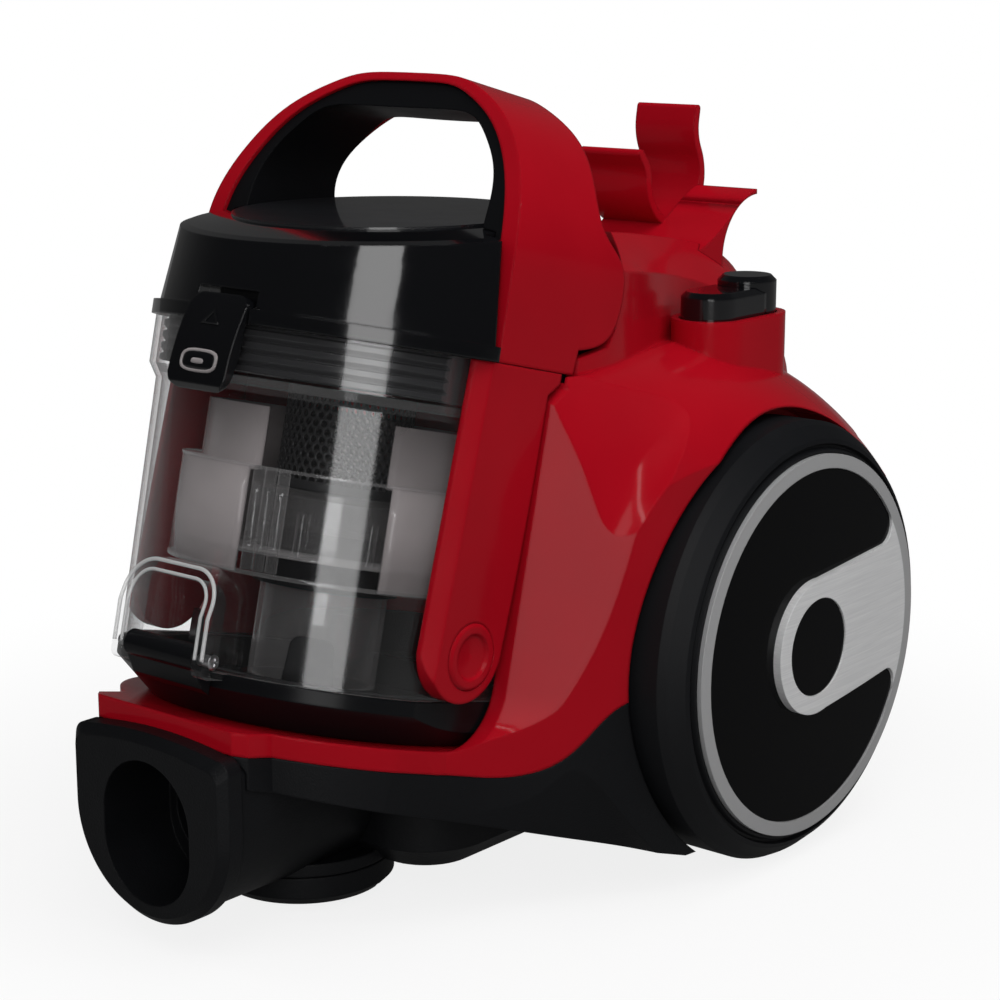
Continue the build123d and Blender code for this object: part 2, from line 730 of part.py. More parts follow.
def wheel_trim():
    plate = wheel_crown() & trim_prism(0)
    return plate - hub_prism(HUB_BADGE_RADIUS + FIT)


def wheel_cap():
    """Flat gloss insert beside the band, and the round badge in the hub."""
    back = WHEEL_FACE_X - TRIM_THICKNESS
    insert = rod_x(TRIM_RING_RADIUS, back, WHEEL_FACE_X - CAP_RECESS, 0, WHEEL_RADIUS) - trim_prism(FIT)
    badge = rod_x(HUB_BADGE_RADIUS, back, WHEEL_FACE_X + WHEEL_CROWN - 2 * CAP_RECESS, 0, WHEEL_RADIUS)
    return Compound([insert, badge])


def axle_stub():
    """Axle fixed in the housing wall, with a collar inside the wall and a head outside the wheel web."""
    wall_x = WELL_X - HOUSING_WALL
    plate_x = WHEEL_FACE_X - TRIM_THICKNESS - 3.0
    stub = rod_x(AXLE_RADIUS, wall_x - 14, plate_x - 0.5, 0, WHEEL_RADIUS)
    return stub + rod_x(AXLE_RADIUS + 4, wall_x - 14, wall_x - FIT, 0, WHEEL_RADIUS)


# Caster


def caster_place():
    return Pos(0, -CASTER_AHEAD, 0)


def caster_turntable():
    """Round skirt with a stub post, hollowed for the roller."""
    post_top = BELLY_Z + PLATE_THICKNESS - POST_ROOF - GAP
    skirt = turned(
        (0, CASTER_SKIRT_BOTTOM), (CASTER_RADIUS - 3, CASTER_SKIRT_BOTTOM),
        (CASTER_RADIUS, CASTER_SKIRT_BOTTOM + 3), (CASTER_RADIUS, BELLY_Z - GAP),
        (CASTER_POST_RADIUS, BELLY_Z - GAP), (CASTER_POST_RADIUS, post_top), (0, post_top),
    )
    room = Box(ROLLER_WIDTH + 2, 2 * ROLLER_RADIUS + 3, 2 * ROLLER_RADIUS + 1.4)
    skirt -= Pos(0, CASTER_TRAIL, ROLLER_RADIUS) * room
    skirt -= rod_x(ROLLER_PIN_RADIUS, -FAR, FAR, CASTER_TRAIL, ROLLER_RADIUS)
    return caster_place() * skirt


def caster_roller():
    half = ROLLER_WIDTH / 2
    bore = ROLLER_PIN_RADIUS + PIN_FIT
    face = outline(
        (-half, bore), (-half, ROLLER_RADIUS - ROLLER_EDGE), (-half + ROLLER_EDGE, ROLLER_RADIUS),
        (half - ROLLER_EDGE, ROLLER_RADIUS), (half, ROLLER_RADIUS - ROLLER_EDGE), (half, bore),
    )
    roller = revolve(Plane.XZ * face, Axis.X)
    return caster_place() * (Pos(0, CASTER_TRAIL, ROLLER_RADIUS) * roller)


def caster_pin():
    pin = rod_x(ROLLER_PIN_RADIUS, -ROLLER_WIDTH / 2 - 8, ROLLER_WIDTH / 2 + 8, CASTER_TRAIL, ROLLER_RADIUS)
    return caster_place() * pin


# Dust cup and what hangs on it, drawn upright in the cup's own frame


def cup_form(inset, low, high):
    """Outside of the cup with its tapering wall, cone and collar, flat where the arms lie."""
    cone_h = CUP_HEIGHT - COLLAR_HEIGHT
    base = CUP_RADIUS - CUP_TAPER - inset
    form = turned(
        (0, low), (base, low), (CUP_RADIUS - inset, cone_h - COLLAR_CONE),
        (COLLAR_RADIUS - inset, cone_h), (COLLAR_RADIUS - inset, high), (0, high),
    )
    return form & Box(2 * (CUP_FLAT_X - inset), FAR, FAR)


def hinge_loop():
    """Clear arched rib over the hinge, with an ear each side for the pin."""
    outer = KNUCKLE_HALF + GAP + EAR_THICKNESS
    side = LOOP_TOP_H - LOOP_CORNER
    bend = LOOP_CORNER * (1 - cos(radians(45)))
    arch = [
        Line((-outer, -4), (-outer, side)),
        ThreePointArc((-outer, side), (-outer + bend, LOOP_TOP_H - bend), (-outer + LOOP_CORNER, LOOP_TOP_H)),
        Line((-outer + LOOP_CORNER, LOOP_TOP_H), (outer - LOOP_CORNER, LOOP_TOP_H)),
        ThreePointArc((outer - LOOP_CORNER, LOOP_TOP_H), (outer - bend, LOOP_TOP_H - bend), (outer, side)),
        Line((outer, side), (outer, -4)),
        Line((outer, -4), (-outer, -4)),
    ]
    whole = Plane.XZ * make_face(arch)
    hole = Plane.XZ * offset(make_face(arch), -EAR_THICKNESS)
    hole += Plane.XZ * outline(
        (-outer + EAR_THICKNESS, -10), (outer - EAR_THICKNESS, -10),
        (outer - EAR_THICKNESS, 12), (-outer + EAR_THICKNESS, 12),
    )
    front = HINGE_S - KNUCKLE_RADIUS
    loop = extrude(whole, -front + 5) - extrude(hole, -front + 5)
    back = HINGE_S + 20
    top = LOOP_TOP_H + 10
    profile = rounded(
        3.0, (front, HINGE_H - 6), (back, HINGE_H - 6), (back, top), (front + 7, top), (front, HINGE_H + 14),
    )
    loop &= slab_x(profile, -FAR, FAR)
    loop -= Cylinder(CUP_RADIUS + 4 * GAP, FAR, align=(Align.CENTER, Align.CENTER, Align.MAX))
    return loop - rod_x(HINGE_PIN_RADIUS, -FAR, FAR, HINGE_S, HINGE_H)


def dust_cup():
    shell = cup_form(0, 0, CUP_HEIGHT) + (hinge_loop() - cup_form(CUP_WALL / 2, -20, CUP_HEIGHT))
    shell -= cup_form(CUP_WALL, -30, CUP_HEIGHT + 30)
    return CUP * shell - port_hole(PORT_RADIUS, CUP_RADIUS - 20, CUP_RADIUS + 10)


def cup_arm():
    """Side arm on the cup's flat: bevelled in front, flared under the handle, round at its lower end."""
    inner = CUP_FLAT_X + FIT
    top = CUP_HEIGHT - FIT
    flare = ARM_BACK_S + ARM_FLARE
    lowest = ((ARM_END_BACK_S - ARM_FRONT_S) / 2, ARM_CAP_H - ARM_END_DROP)
    face = make_face([
        Line((-ARM_TOP_FRONT_S, top), (flare, top)),
        Line((flare, top), (flare, top - 3.5)),
        Line((flare, top - 3.5), (ARM_BACK_S, top - 8)),
        Spline((ARM_BACK_S, top - 8), (ARM_BACK_S - 1.3, CUP_HEIGHT / 2), (ARM_END_BACK_S, ARM_CAP_H)),
        ThreePointArc((ARM_END_BACK_S, ARM_CAP_H), lowest, (-ARM_FRONT_S, ARM_CAP_H)),
        Line((-ARM_FRONT_S, ARM_CAP_H), (-ARM_TOP_FRONT_S, top)),
    ])
    arm = slab_x(face, inner, ARM_OUTER_X)
    front_edge = arm.faces().sort_by(Axis.X)[-1].edges().sort_by(Axis.Y)[0]
    arm = chamfer(front_edge, ARM_BEVEL)
    recess = rod_x(ARM_CAP_RADIUS + FIT, ARM_OUTER_X - ARM_CAP_DEPTH, FAR, ARM_CAP_S, ARM_CAP_H)
    return CUP * (arm - recess)


def arm_cap():
    """Round cap with a ring groove and a dished middle."""
    back = ARM_OUTER_X - ARM_CAP_DEPTH
    face = outline(
        (back, 0), (back, ARM_CAP_RADIUS), (ARM_OUTER_X, ARM_CAP_RADIUS),
        (ARM_OUTER_X + CAP_RELIEF, ARM_CAP_RADIUS - 1), (ARM_OUTER_X + CAP_RELIEF, ARM_CAP_RADIUS - 3.5),
        (ARM_OUTER_X - CAP_RELIEF / 2, ARM_CAP_RADIUS - 4.2), (ARM_OUTER_X - CAP_RELIEF, 0),
    )
    return CUP * (Pos(0, ARM_CAP_S, ARM_CAP_H) * revolve(Plane.XZ * face, Axis.X))


def bottom_flap():
    """Tray that closes the cup, with its hinge knuckle in front and dust fins on its floor."""
    top = -FIT
    rim = CUP_RADIUS - 0.5
    low = -FLAP_DEPTH
    tray = turned(
        (0, low), (FLAP_BOTTOM_RADIUS, low), (rim, -FLAP_RIM), (rim, top),
        (rim - 8, top), (rim - 9, top - SEAL_GROOVE), (rim - 13, top - SEAL_GROOVE), (rim - 14, top),
        (rim - 15, low + FLAP_FLOOR), (0, low + FLAP_FLOOR),
    )
    tray &= Box(2 * CUP_FLAT_X, FAR, FAR)
    knuckle = rod_x(KNUCKLE_RADIUS, -KNUCKLE_HALF, KNUCKLE_HALF, HINGE_S, HINGE_H)
    web = outline(
        (HINGE_S - KNUCKLE_RADIUS, HINGE_H), (-CUP_RADIUS - GAP, HINGE_H), (-CUP_RADIUS - GAP, top),
        (-rim + 1, top - 1), (-rim + 1, -FLAP_RIM - 3), (HINGE_S + 2, -FLAP_RIM - 1),
    )
    tray += knuckle + slab_x(web, -KNUCKLE_HALF, KNUCKLE_HALF)
    tray -= rod_x(HINGE_PIN_RADIUS + PIN_FIT, -FAR, FAR, HINGE_S, HINGE_H)
    fin_face = rounded(3.5, (-10, -FLAP_DEPTH + 2), (10, -FLAP_DEPTH + 2), (7.5, 14), (-7.5, 14))
    fin = extrude(Plane.XZ * fin_face, 2)
    for turn in (35, -35, 145, -145):
        tray += Rot(0, 0, turn) * (Pos(0, -48, 0) * fin)
    return CUP * tray


def flap_pin():
    half = KNUCKLE_HALF + GAP + EAR_THICKNESS
    return CUP * rod_x(HINGE_PIN_RADIUS, -half, half, HINGE_S, HINGE_H)


def flap_seal():
    rim = CUP_RADIUS - 0.5
    return CUP * tube(rim - 9 - 2 * FIT, rim - 13 + 2 * FIT, -FIT - SEAL_GROOVE, -FIT)


# Cyclone


def cyclone_place():
    return CUP * Pos(0, CYCLONE_S, 0)


def cyclone_screen():
    """Perforated metal cylinder under the filter."""
    top = CUP_HEIGHT - COLLAR_HEIGHT
    return cyclone_place() * tube(SCREEN_RADIUS, SCREEN_RADIUS - SCREEN_WALL, SCREEN_BOTTOM_H, top)


def cyclone_skirt():
    """Clear outer skirt, open in front, with a step round its upper third."""
    step = SKIRT_TOP_H - 16
    wall = CYCLONE_WALL
    skirt = turned(
        (SKIRT_RADIUS - wall, SKIRT_BOTTOM_H), (SKIRT_RADIUS, SKIRT_BOTTOM_H), (SKIRT_RADIUS, step),
        (SKIRT_RADIUS - 3, step), (SKIRT_RADIUS - 3, SKIRT_TOP_H), (SKIRT_RADIUS - 3 - wall, SKIRT_TOP_H),
        (SKIRT_RADIUS - 3 - wall, step - 2), (SKIRT_RADIUS - wall, step - 2),
    )
    window = Pos(0, -SKIRT_RADIUS, SKIRT_TOP_H) * Box(52, SKIRT_RADIUS, 2 * SKIRT_TOP_H)
    skirt -= window
    arms = Pos(0, 0, SKIRT_BOTTOM_H + 1) * (Box(2 * SKIRT_RADIUS - 2, 4, 2) + Box(4, 2 * SKIRT_RADIUS - 2, 2))
    skirt += arms - window - Cylinder(SCREEN_RADIUS + 8, FAR)
    return cyclone_place() * skirt


def cyclone_body():
    """Clear inner drum with its rims and the small posts round its edge."""
    drum_r = SCREEN_RADIUS + 7
    low = SKIRT_BOTTOM_H
    high = SCREEN_BOTTOM_H
    drum = turned(
        (drum_r - CYCLONE_WALL, low), (drum_r + 1, low), (drum_r + 1, low + DRUM_RIM),
        (drum_r, low + DRUM_RIM),
        (drum_r, high - DRUM_RIM), (drum_r + 1, high - DRUM_RIM), (drum_r + 1, high - FIT),
        (SCREEN_RADIUS - 6, high - FIT), (SCREEN_RADIUS - 6, high - DRUM_RIM),
        (drum_r - CYCLONE_WALL, high - DRUM_RIM),
    )
    for turn in range(8):
        post = Pos(drum_r + 1.2, 0, low) * Cylinder(
            DRUM_POST_RADIUS, high - low - 8, align=(Align.CENTER, Align.CENTER, Align.MIN)
        )
        drum += Rot(0, 0, 45 * turn + 22.5) * post
    return cyclone_place() * drum


def cyclone_band():
    """Dark ring between the drum and the lower cup."""
    return cyclone_place() * tube(SCREEN_RADIUS + 3, SCREEN_RADIUS, SKIRT_BOTTOM_H - 12, SKIRT_BOTTOM_H + 8)


def cyclone_deck():
    """Ring that rests on the cup's cone and carries the screen."""
    top = CUP_HEIGHT - COLLAR_HEIGHT
    low = top - 3
    slope = (COLLAR_RADIUS - CUP_RADIUS) / COLLAR_CONE
    outer = COLLAR_RADIUS - CUP_WALL - FIT
    ring = turned((0, low), (outer - 3 * slope, low), (outer, top), (0, top))
    ring &= Box(2 * (CUP_FLAT_X - CUP_WALL - FIT), FAR, FAR)
    ring -= Pos(0, CYCLONE_S, 0) * Cylinder(SCREEN_RADIUS + FIT, FAR)
    return CUP * ring


def cyclone_cup():
    """Fine-dust cup between the flap's floor and the drum's top plate."""
    low = -FLAP_DEPTH + FLAP_FLOOR + GAP + 6
    high = SCREEN_BOTTOM_H - DRUM_RIM - FIT
    radius = SCREEN_RADIUS - FIT
    return cyclone_place() * tube(radius, radius - CYCLONE_WALL, low, high)


def cyclone_foot():
    """Ribbed rubber foot that seals the fine-dust cup on the flap."""
    low = -FLAP_DEPTH + FLAP_FLOOR + GAP
    top = low + 6 - FIT
    wide = SCREEN_RADIUS + 2
    neck = SCREEN_RADIUS + 0.5
    points = [(SCREEN_RADIUS - 6, low), (wide, low)]
    for rib in range(2):
        base = low + 2 * rib
        points += [(wide, base + 1), (neck, base + 1.5), (wide, base + 2)]
    points += [(wide, top), (SCREEN_RADIUS - 6, top)]
    return cyclone_place() * turned(*points)


# Lid unit


def lid_outer(inset):
    """Conical wall from the leaning rim to the level shoulder, and the low crown above it."""
    rim = CUP * (Pos(0, 0, CUP_HEIGHT + inset) * Circle(COLLAR_RADIUS - inset))
    shoulder = Pos(0, -LID_SHOULDER_AHEAD, LID_SHOULDER_Z - inset) * Circle(LID_SHOULDER_RADIUS - inset)
    wall = loft([rim, shoulder])
    crown = turned(
        (0, LID_SHOULDER_Z - 8), (LID_SHOULDER_RADIUS - inset - 2, LID_SHOULDER_Z - 8),
        (LID_SHOULDER_RADIUS - inset, LID_SHOULDER_Z - inset),
        (LID_SHOULDER_RADIUS - inset - 3, LID_SHOULDER_Z - inset + 1),
        (LID_DISC_RADIUS, LID_TOP_Z - inset - LID_DISC_STEP), (LID_DISC_RADIUS, LID_TOP_Z - inset),
        (0, LID_TOP_Z - inset),
    )
    return wall + Pos(0, -LID_SHOULDER_AHEAD, 0) * crown


def side_rooms(x, front_s):
    """Room beside the lid for the handle's legs."""
    block = Pos(x, front_s, 0) * Box(FAR, FAR, FAR, align=(Align.MIN, Align.MIN, Align.MIN))
    return CUP * both_sides(block)


def filter_lid():
    rim = CUP * turned(
        (0, CUP_HEIGHT), (LID_RIM_RADIUS, CUP_HEIGHT), (LID_RIM_RADIUS, CUP_HEIGHT + LID_RIM_HEIGHT),
        (0, CUP_HEIGHT + LID_RIM_HEIGHT + 4),
    )
    lid = lid_outer(0) + rim
    depth = LID_SHOULDER_Z - CUP_BASE_Z - CUP_HEIGHT - 14
    hollow = Pos(0, 0, CUP_HEIGHT - 1) * Cylinder(
        COLLAR_RADIUS - 13, depth, align=(Align.CENTER, Align.CENTER, Align.MIN)
    )
    lid -= CUP * hollow
    lid -= side_rooms(LID_SIDE_X, HANDLE_FRONT_S - 3)
    notch = Pos(0, LATCH_PIVOT_S - 2, LATCH_TOP_H + 2) * Box(
        LATCH_WIDTH + 2 * GAP, 13, LATCH_TOP_H, align=(Align.CENTER, Align.CENTER, Align.MAX)
    )
    half = LATCH_WIDTH / 2 + 2
    return lid - CUP * (notch + rod_x(LATCH_PIN_RADIUS, -half, half, LATCH_PIVOT_S, LATCH_PIVOT_H))


def handle_arch(inset, drop, bottom):
    """Front view of the arch, drawn in x and h: upright sides and a broad rounded top."""
    half = ARM_OUTER_X - 1 - inset
    rise = handle_top_h() - HANDLE_SPRING_H - drop
    curve = [(1, 0), (0.868, 0.538), (0.676, 0.789), (0.446, 0.938), (0, 1)]
    points = [(half * across, HANDLE_SPRING_H + rise * upward) for across, upward in curve]
    edges = [
        Line((0, bottom), (half, bottom)),
        Line((half, bottom), points[0]),
        Spline(*points, tangents=[(0, 1), (-1, 0)]),
        Line(points[-1], (0, bottom)),
    ]
    return both_sides(make_face(edges))


def handle_top_h():
    """Height of the arch's crest up the cup's axis."""
    tilt = radians(CUP_TILT)
    return (HANDLE_TOP_Z - CUP_BASE_Z + HANDLE_CREST_S * sin(tilt)) / cos(tilt)


def handle_side(inset):
    """Side view of the handle: front leaning back to the crest, straight rear, cheeks bulging at the foot."""
    crest = handle_top_h() + 3
    foot = CUP_HEIGHT + FIT
    front = HANDLE_FRONT_S + inset
    back = HANDLE_BACK_S - 2.5 * inset
    ear = HANDLE_EAR_S - 2.5 * inset
    edges = [
        Line((front, foot), (front, HANDLE_SPRING_H)),
        Spline(
            (front, HANDLE_SPRING_H), (front + 6.5, 183), (front + 11.5, 199), (front + 19, crest),
            tangents=[(0, 1), (0.45, 1)],
        ),
        Line((front + 19, crest), (back + 5, crest)),
        Spline(
            (back + 5, crest), (back + 1.5, 194), (back, 166), (ear - 2, 155), (ear, 145),
            (ear - 4, CHEEK_FOOT_H + 7), (CHEEK_FOOT_S, CHEEK_FOOT_H),
            tangents=[(-0.3, -1), (-1, -0.15)],
        ),
        Line((CHEEK_FOOT_S, CHEEK_FOOT_H), (CHEEK_FOOT_S - 1, foot)),
        Line((CHEEK_FOOT_S - 1, foot), (front, foot)),
    ]
    return make_face(edges)


def handle_shell():
    """Red arch with its two cheeks, resting on the side arms."""
    foot = CUP_HEIGHT + FIT
    whole = extrude(Plane.XZ * handle_arch(0, 0, foot), FAR, both=True)
    hole = extrude(Plane.XZ * handle_arch(HANDLE_SHELL, HANDLE_SHELL_TOP, foot - 5), FAR, both=True)
    return CUP * (slab_x(handle_side(0), -FAR, FAR) & (whole - hole))


def finger_opening():
    """Hole through the grip, an arch in front that changes to a squarer one behind."""
    low = CUP_HEIGHT - 10
    front = [(1, 15), (0.903, 34), (0.763, 43), (0, 51)]
    rear = [(0.903, 32), (0.868, 42), (0.758, 49.8), (0, 55)]
    faces = []
    for back, shape in ((HANDLE_FRONT_S - 5, front), (HANDLE_BACK_S + 25, rear)):
        points = [(GRIP_HALF * across, HANDLE_SPRING_H + upward) for across, upward in shape]
        edges = [
            Line((0, low), (points[0][0], low)),
            Line((points[0][0], low), points[0]),
            Spline(*points, tangents=[(0, 1), (-1, 0)]),
            Line(points[-1], (0, low)),
        ]
        faces.append(Pos(0, back, 0) * (Plane.XZ * make_face(edges)))
    return both_sides(loft(faces))


def handle_grip():
    """Inner lining of the arch, set back a little from the shell's front."""
    foot = CUP_HEIGHT + FIT
    lining = extrude(Plane.XZ * handle_arch(HANDLE_SHELL + FIT, HANDLE_SHELL_TOP + FIT, foot), FAR, both=True)
    lining &= slab_x(handle_side(1.5), -FAR, FAR)
    lining = CUP * (lining - finger_opening()) - lid_room()
    return lining.solids().sort_by(SortBy.VOLUME)[-1]


def lid_room():
    """Space of the lid and what lies under it, for pieces that stand on the lid."""
    keep = lid_outer(-FIT)
    return keep - side_rooms(LID_SIDE_X + FIT, HANDLE_FRONT_S - 3)


def filter_frame():
    """Ribbed frame that plugs into the cup's collar."""
    low = CUP_HEIGHT - COLLAR_HEIGHT + 1
    outer = COLLAR_RADIUS - CUP_WALL - 1.0
    points = [(outer - 12, low), (outer - 1.4, low)]
    for rib in range(4):
        base = low + 4 * rib
        points += [(outer, base + 0.6), (outer, base + 2.4), (outer - 1.4, base + 3.0)]
    points += [(outer - 1.4, CUP_HEIGHT - FIT), (outer - 12, CUP_HEIGHT - FIT)]
    frame = turned(*points)
    floor = Pos(0, 0, low) * Cylinder(outer - 11, 2.4, align=(Align.CENTER, Align.CENTER, Align.MIN))
    frame += floor - Pos(0, CYCLONE_S, 0) * Cylinder(SCREEN_RADIUS - 3, FAR)
    frame &= Box(2 * (CUP_FLAT_X - CUP_WALL - 0.8), FAR, FAR)
    return CUP * frame


def pleated_filter():
    """Ring of folded paper standing in the frame."""
    folds = 30
    outer = COLLAR_RADIUS - CUP_WALL - 14.5
    inner = outer - 14
    points = []
    for fold in range(folds):
        for radius, turn in ((outer, fold), (inner, fold + 0.5)):
            angle = radians(360 * turn / folds)
            points.append((radius * cos(angle), radius * sin(angle)))
    star = outline(*points) - Circle(inner - 3)
    low = CUP_HEIGHT - COLLAR_HEIGHT + 3.4 + FIT
    return CUP * (Pos(0, 0, low) * extrude(star, CUP_HEIGHT + 12 - low))


def latch():
    """Curved clasp hinged on the lid's front, reaching down over the cup's collar."""
    pivot = LATCH_PIVOT_S
    clear = -COLLAR_RADIUS - GAP - 0.2
    side = make_face([
        Line((pivot, LATCH_TOP_H - 1), (pivot - 2.8, LATCH_TOP_H)),
        Spline((pivot - 2.8, LATCH_TOP_H), (pivot - 8, 108), (pivot - 10, LATCH_BOTTOM_H + 2)),
        Line((pivot - 10, LATCH_BOTTOM_H + 2), (pivot - 8, LATCH_BOTTOM_H)),
        Line((pivot - 8, LATCH_BOTTOM_H), (clear - 0.6, 104)),
        Line((clear - 0.6, 104), (clear, CUP_HEIGHT + 0.5)),
        Line((clear, CUP_HEIGHT + 0.5), (pivot, CUP_HEIGHT + 1.5)),
        Line((pivot, CUP_HEIGHT + 1.5), (pivot, LATCH_TOP_H - 1)),
    ])
    clasp = slab_x(side, -LATCH_WIDTH / 2, LATCH_WIDTH / 2)
    front = rounded(
        5.5, (-LATCH_WIDTH / 2, LATCH_BOTTOM_H), (LATCH_WIDTH / 2, LATCH_BOTTOM_H),
        (LATCH_WIDTH / 2, LATCH_TOP_H), (-LATCH_WIDTH / 2, LATCH_TOP_H),
    )
    clasp &= extrude(Plane.XZ * front, FAR, both=True)
    clasp -= Pos(0, 0, LATCH_BOTTOM_H + 9) * Box(12, FAR, 5)
    clasp += rod_x(LATCH_PIN_RADIUS + 1.6, -LATCH_WIDTH / 2 + 3, LATCH_WIDTH / 2 - 3, pivot, LATCH_PIVOT_H)
    clasp -= rod_x(LATCH_PIN_RADIUS + PIN_FIT, -FAR, FAR, pivot, LATCH_PIVOT_H)
    return CUP * clasp


def latch_pin():
    half = LATCH_WIDTH / 2 + 2
    return CUP * rod_x(LATCH_PIN_RADIUS, -half, half, LATCH_PIVOT_S, LATCH_PIVOT_H)


# Buttons


def button_space():
    return tower_outline(-TOWER_RIM - GAP)


def rear_button_centre():
    return (TOWER_LENGTH - TOWER_WIDTH) / 2


def rear_button_disc(grow):
    radius = TOWER_WIDTH / 2 - TOWER_RIM - GAP
    return Pos(0, rear_button_centre()) * Circle(radius + grow)


def power_button():
    """Front button with a bevelled top, hollowed round the rear button."""
    low = TOWER_TOP_Z - BUTTON_POCKET + BUTTON_TRAVEL + 2
    face = button_space() - rear_button_disc(GAP)
    body = extrude(face, BUTTON_FRONT_TOP_Z - low)
    body = chamfer(body.faces().sort_by(Axis.Z)[-1].edges().sort_by(Axis.Y)[:3], 2.0)
    return tower_place(low) * body


def rewind_button():
    """Rear round button, a little higher, with a chamfered rim."""
    low = TOWER_TOP_Z - BUTTON_POCKET + BUTTON_TRAVEL + 2
    body = extrude(rear_button_disc(0), BUTTON_REAR_TOP_Z - low)
    body = chamfer(body.faces().sort_by(Axis.Z)[-1].edges(), 2.0)
    return tower_place(low) * body


def button_spring(back):
    """Coil spring under a button, as its outer form."""
    low = TOWER_TOP_Z - BUTTON_POCKET
    coil = tube(SPRING_RADIUS, SPRING_RADIUS - SPRING_WIRE, 0, BUTTON_TRAVEL + 2)
    return tower_place(low) * (Pos(0, back, 0) * coil)


# Accessory holder


def clip_side():
    """Side view of the open clip: round cradle, short front prong, tall rear prong that hugs the tube."""
    reach = CLIP_RADIUS + CLIP_WALL / 2
    front = JernArc((-reach, 0), (0, 1), CLIP_FLARE, 35)
    tip = Line(front @ 1, front @ 1 + front % 1 * 5)
    cradle = ThreePointArc((-reach, 0), (0, -reach), (reach, 0))
    hug = JernArc((reach, 0), (0, 1), CLIP_RADIUS + 5, 28)
    lean = JernArc(hug @ 1, hug % 1, CLIP_RADIUS + 3, -38)
    end = Line(lean @ 1, lean @ 1 + lean % 1 * 4)
    middle = Wire([tip, front, cradle, hug, lean, end])
    strip = make_face(middle.offset_2d(CLIP_WALL / 2, kind=Kind.ARC, side=Side.BOTH))
    return Pos(CLIP_BACK, CLIP_Z) * strip


def saddle_side(grow):
    """Side view of the bracket under the clip, hollowed behind to rest a tube in."""
    y, z = CLIP_BACK, CLIP_Z + grow
    front, back, foot = y - 30 - grow, y + 15 + grow, z - 60 - 2 * grow
    block = make_face([
        Line((front, foot), (front, z - 26)),
        Spline((front, z - 26), (y - 12, z - 19.5), (y + 4, z - 9), (back, z - 4)),
        Line((back, z - 4), (back, foot)),
        Line((back, foot), (front, foot)),
    ])
    hollow = Pos(CLIP_BACK + 16, CLIP_Z - 31) * Circle(SADDLE_RADIUS - grow)
    return block - hollow


def holder_foot(grow):
    """Part of the bracket that sinks into the hump."""
    return slab_x(saddle_side(grow), -CLIP_WIDTH - grow, CLIP_WIDTH + grow)


def accessory_holder():
    clip = slab_x(clip_side(), -CLIP_WIDTH, 0)
    bracket = holder_foot(0)
    bracket -= slab_x(Pos(CLIP_BACK, CLIP_Z) * Circle(CLIP_RADIUS), -FAR, 0)
    floor = slab_x(outline((0, CLIP_Z - 55), (REAR, CLIP_Z - 55), (REAR, FAR), (0, FAR)), -FAR, FAR)
    return (clip + bracket) & floor


# Works inside


def duct_form(grow, start):
    """Outside of the air duct: a flat run under the tub, then a riser behind its wall up to the port."""
    face = RectangleRounded(DUCT_WIDTH + 2 * grow, DUCT_HEIGHT + 2 * grow, 6)
    middle = DUCT_S + DUCT_DEPTH / 2
    end = cup_yz(middle, -40)[0]
    run = Pos(0, start, 0) * extrude(Plane.XZ * (Pos(0, DUCT_Z) * face), -(end - start))
    top = PORT_H + PORT_RADIUS + 6 + grow
    riser = Pos(0, middle, top) * Box(
        DUCT_WIDTH + 2 * grow, DUCT_DEPTH + 2 * grow, top + 60, align=(Align.CENTER, Align.CENTER, Align.MAX)
    )
    floor = Pos(0, 0, DUCT_Z - DUCT_HEIGHT / 2 - grow) * Box(
        FAR, FAR, FAR, align=(Align.CENTER, Align.CENTER, Align.MIN)
    )
    return (run + CUP * riser) & floor


def suction_duct():
    """Air path from the nozzle to the port in the tub's wall, hollow all through."""
    start = FRONT + NOZZLE_DEPTH + FIT
    duct = duct_form(0, start) - duct_form(-DUCT_WALL, start - 5)
    return duct - port_hole(PORT_RADIUS, DUCT_S - 5, DUCT_S + 5)


def motor_place():
    return Pos(0, MOTOR_BACK, MOTOR_Z)


def motor_housing():
    """Can of the motor with its wider fan end, bearings in both end walls and ports for the air."""
    wall = MOTOR_WALL
    low = -MOTOR_LENGTH / 2
    high = MOTOR_LENGTH / 2
    neck = high - 30
    bore = MOTOR_SHAFT_RADIUS + PIN_FIT
    can = outline(
        (low, bore), (low, MOTOR_RADIUS), (neck, MOTOR_RADIUS), (neck, FAN_RADIUS), (high, FAN_RADIUS),
        (high, bore), (high - wall, bore), (high - wall, FAN_RADIUS - wall), (neck + wall, FAN_RADIUS - wall),
        (neck + wall, MOTOR_RADIUS - wall), (low + wall, MOTOR_RADIUS - wall), (low + wall, bore),
    )
    shell = revolve(Plane.XZ * can, Axis.X)
    for turn in range(0, 360, 60):
        shell -= Rot(turn, 0, 0) * rod_x(MOTOR_PORT_RADIUS, -FAR, FAR, 0, MOTOR_RADIUS / 2)
    return motor_place() * shell


def motor_rotor():
    """Shaft with its armature and the fan at one end."""
    half = MOTOR_LENGTH / 2
    rotor = rod_x(MOTOR_SHAFT_RADIUS, -half - 2, half + 2)
    rotor += rod_x(MOTOR_RADIUS * 0.55, -half + 12, half - 40)
    rotor += rod_x(FAN_RADIUS - 6, half - 22, half - 19)
    for turn in range(0, 360, 45):
        blade = Pos(half - 19, 0, MOTOR_SHAFT_RADIUS + 4) * Box(
            10, 1.6, FAN_RADIUS - 14, align=(Align.MIN, Align.CENTER, Align.MIN)
        )
        rotor += Rot(turn, 0, 0) * blade
    return motor_place() * rotor


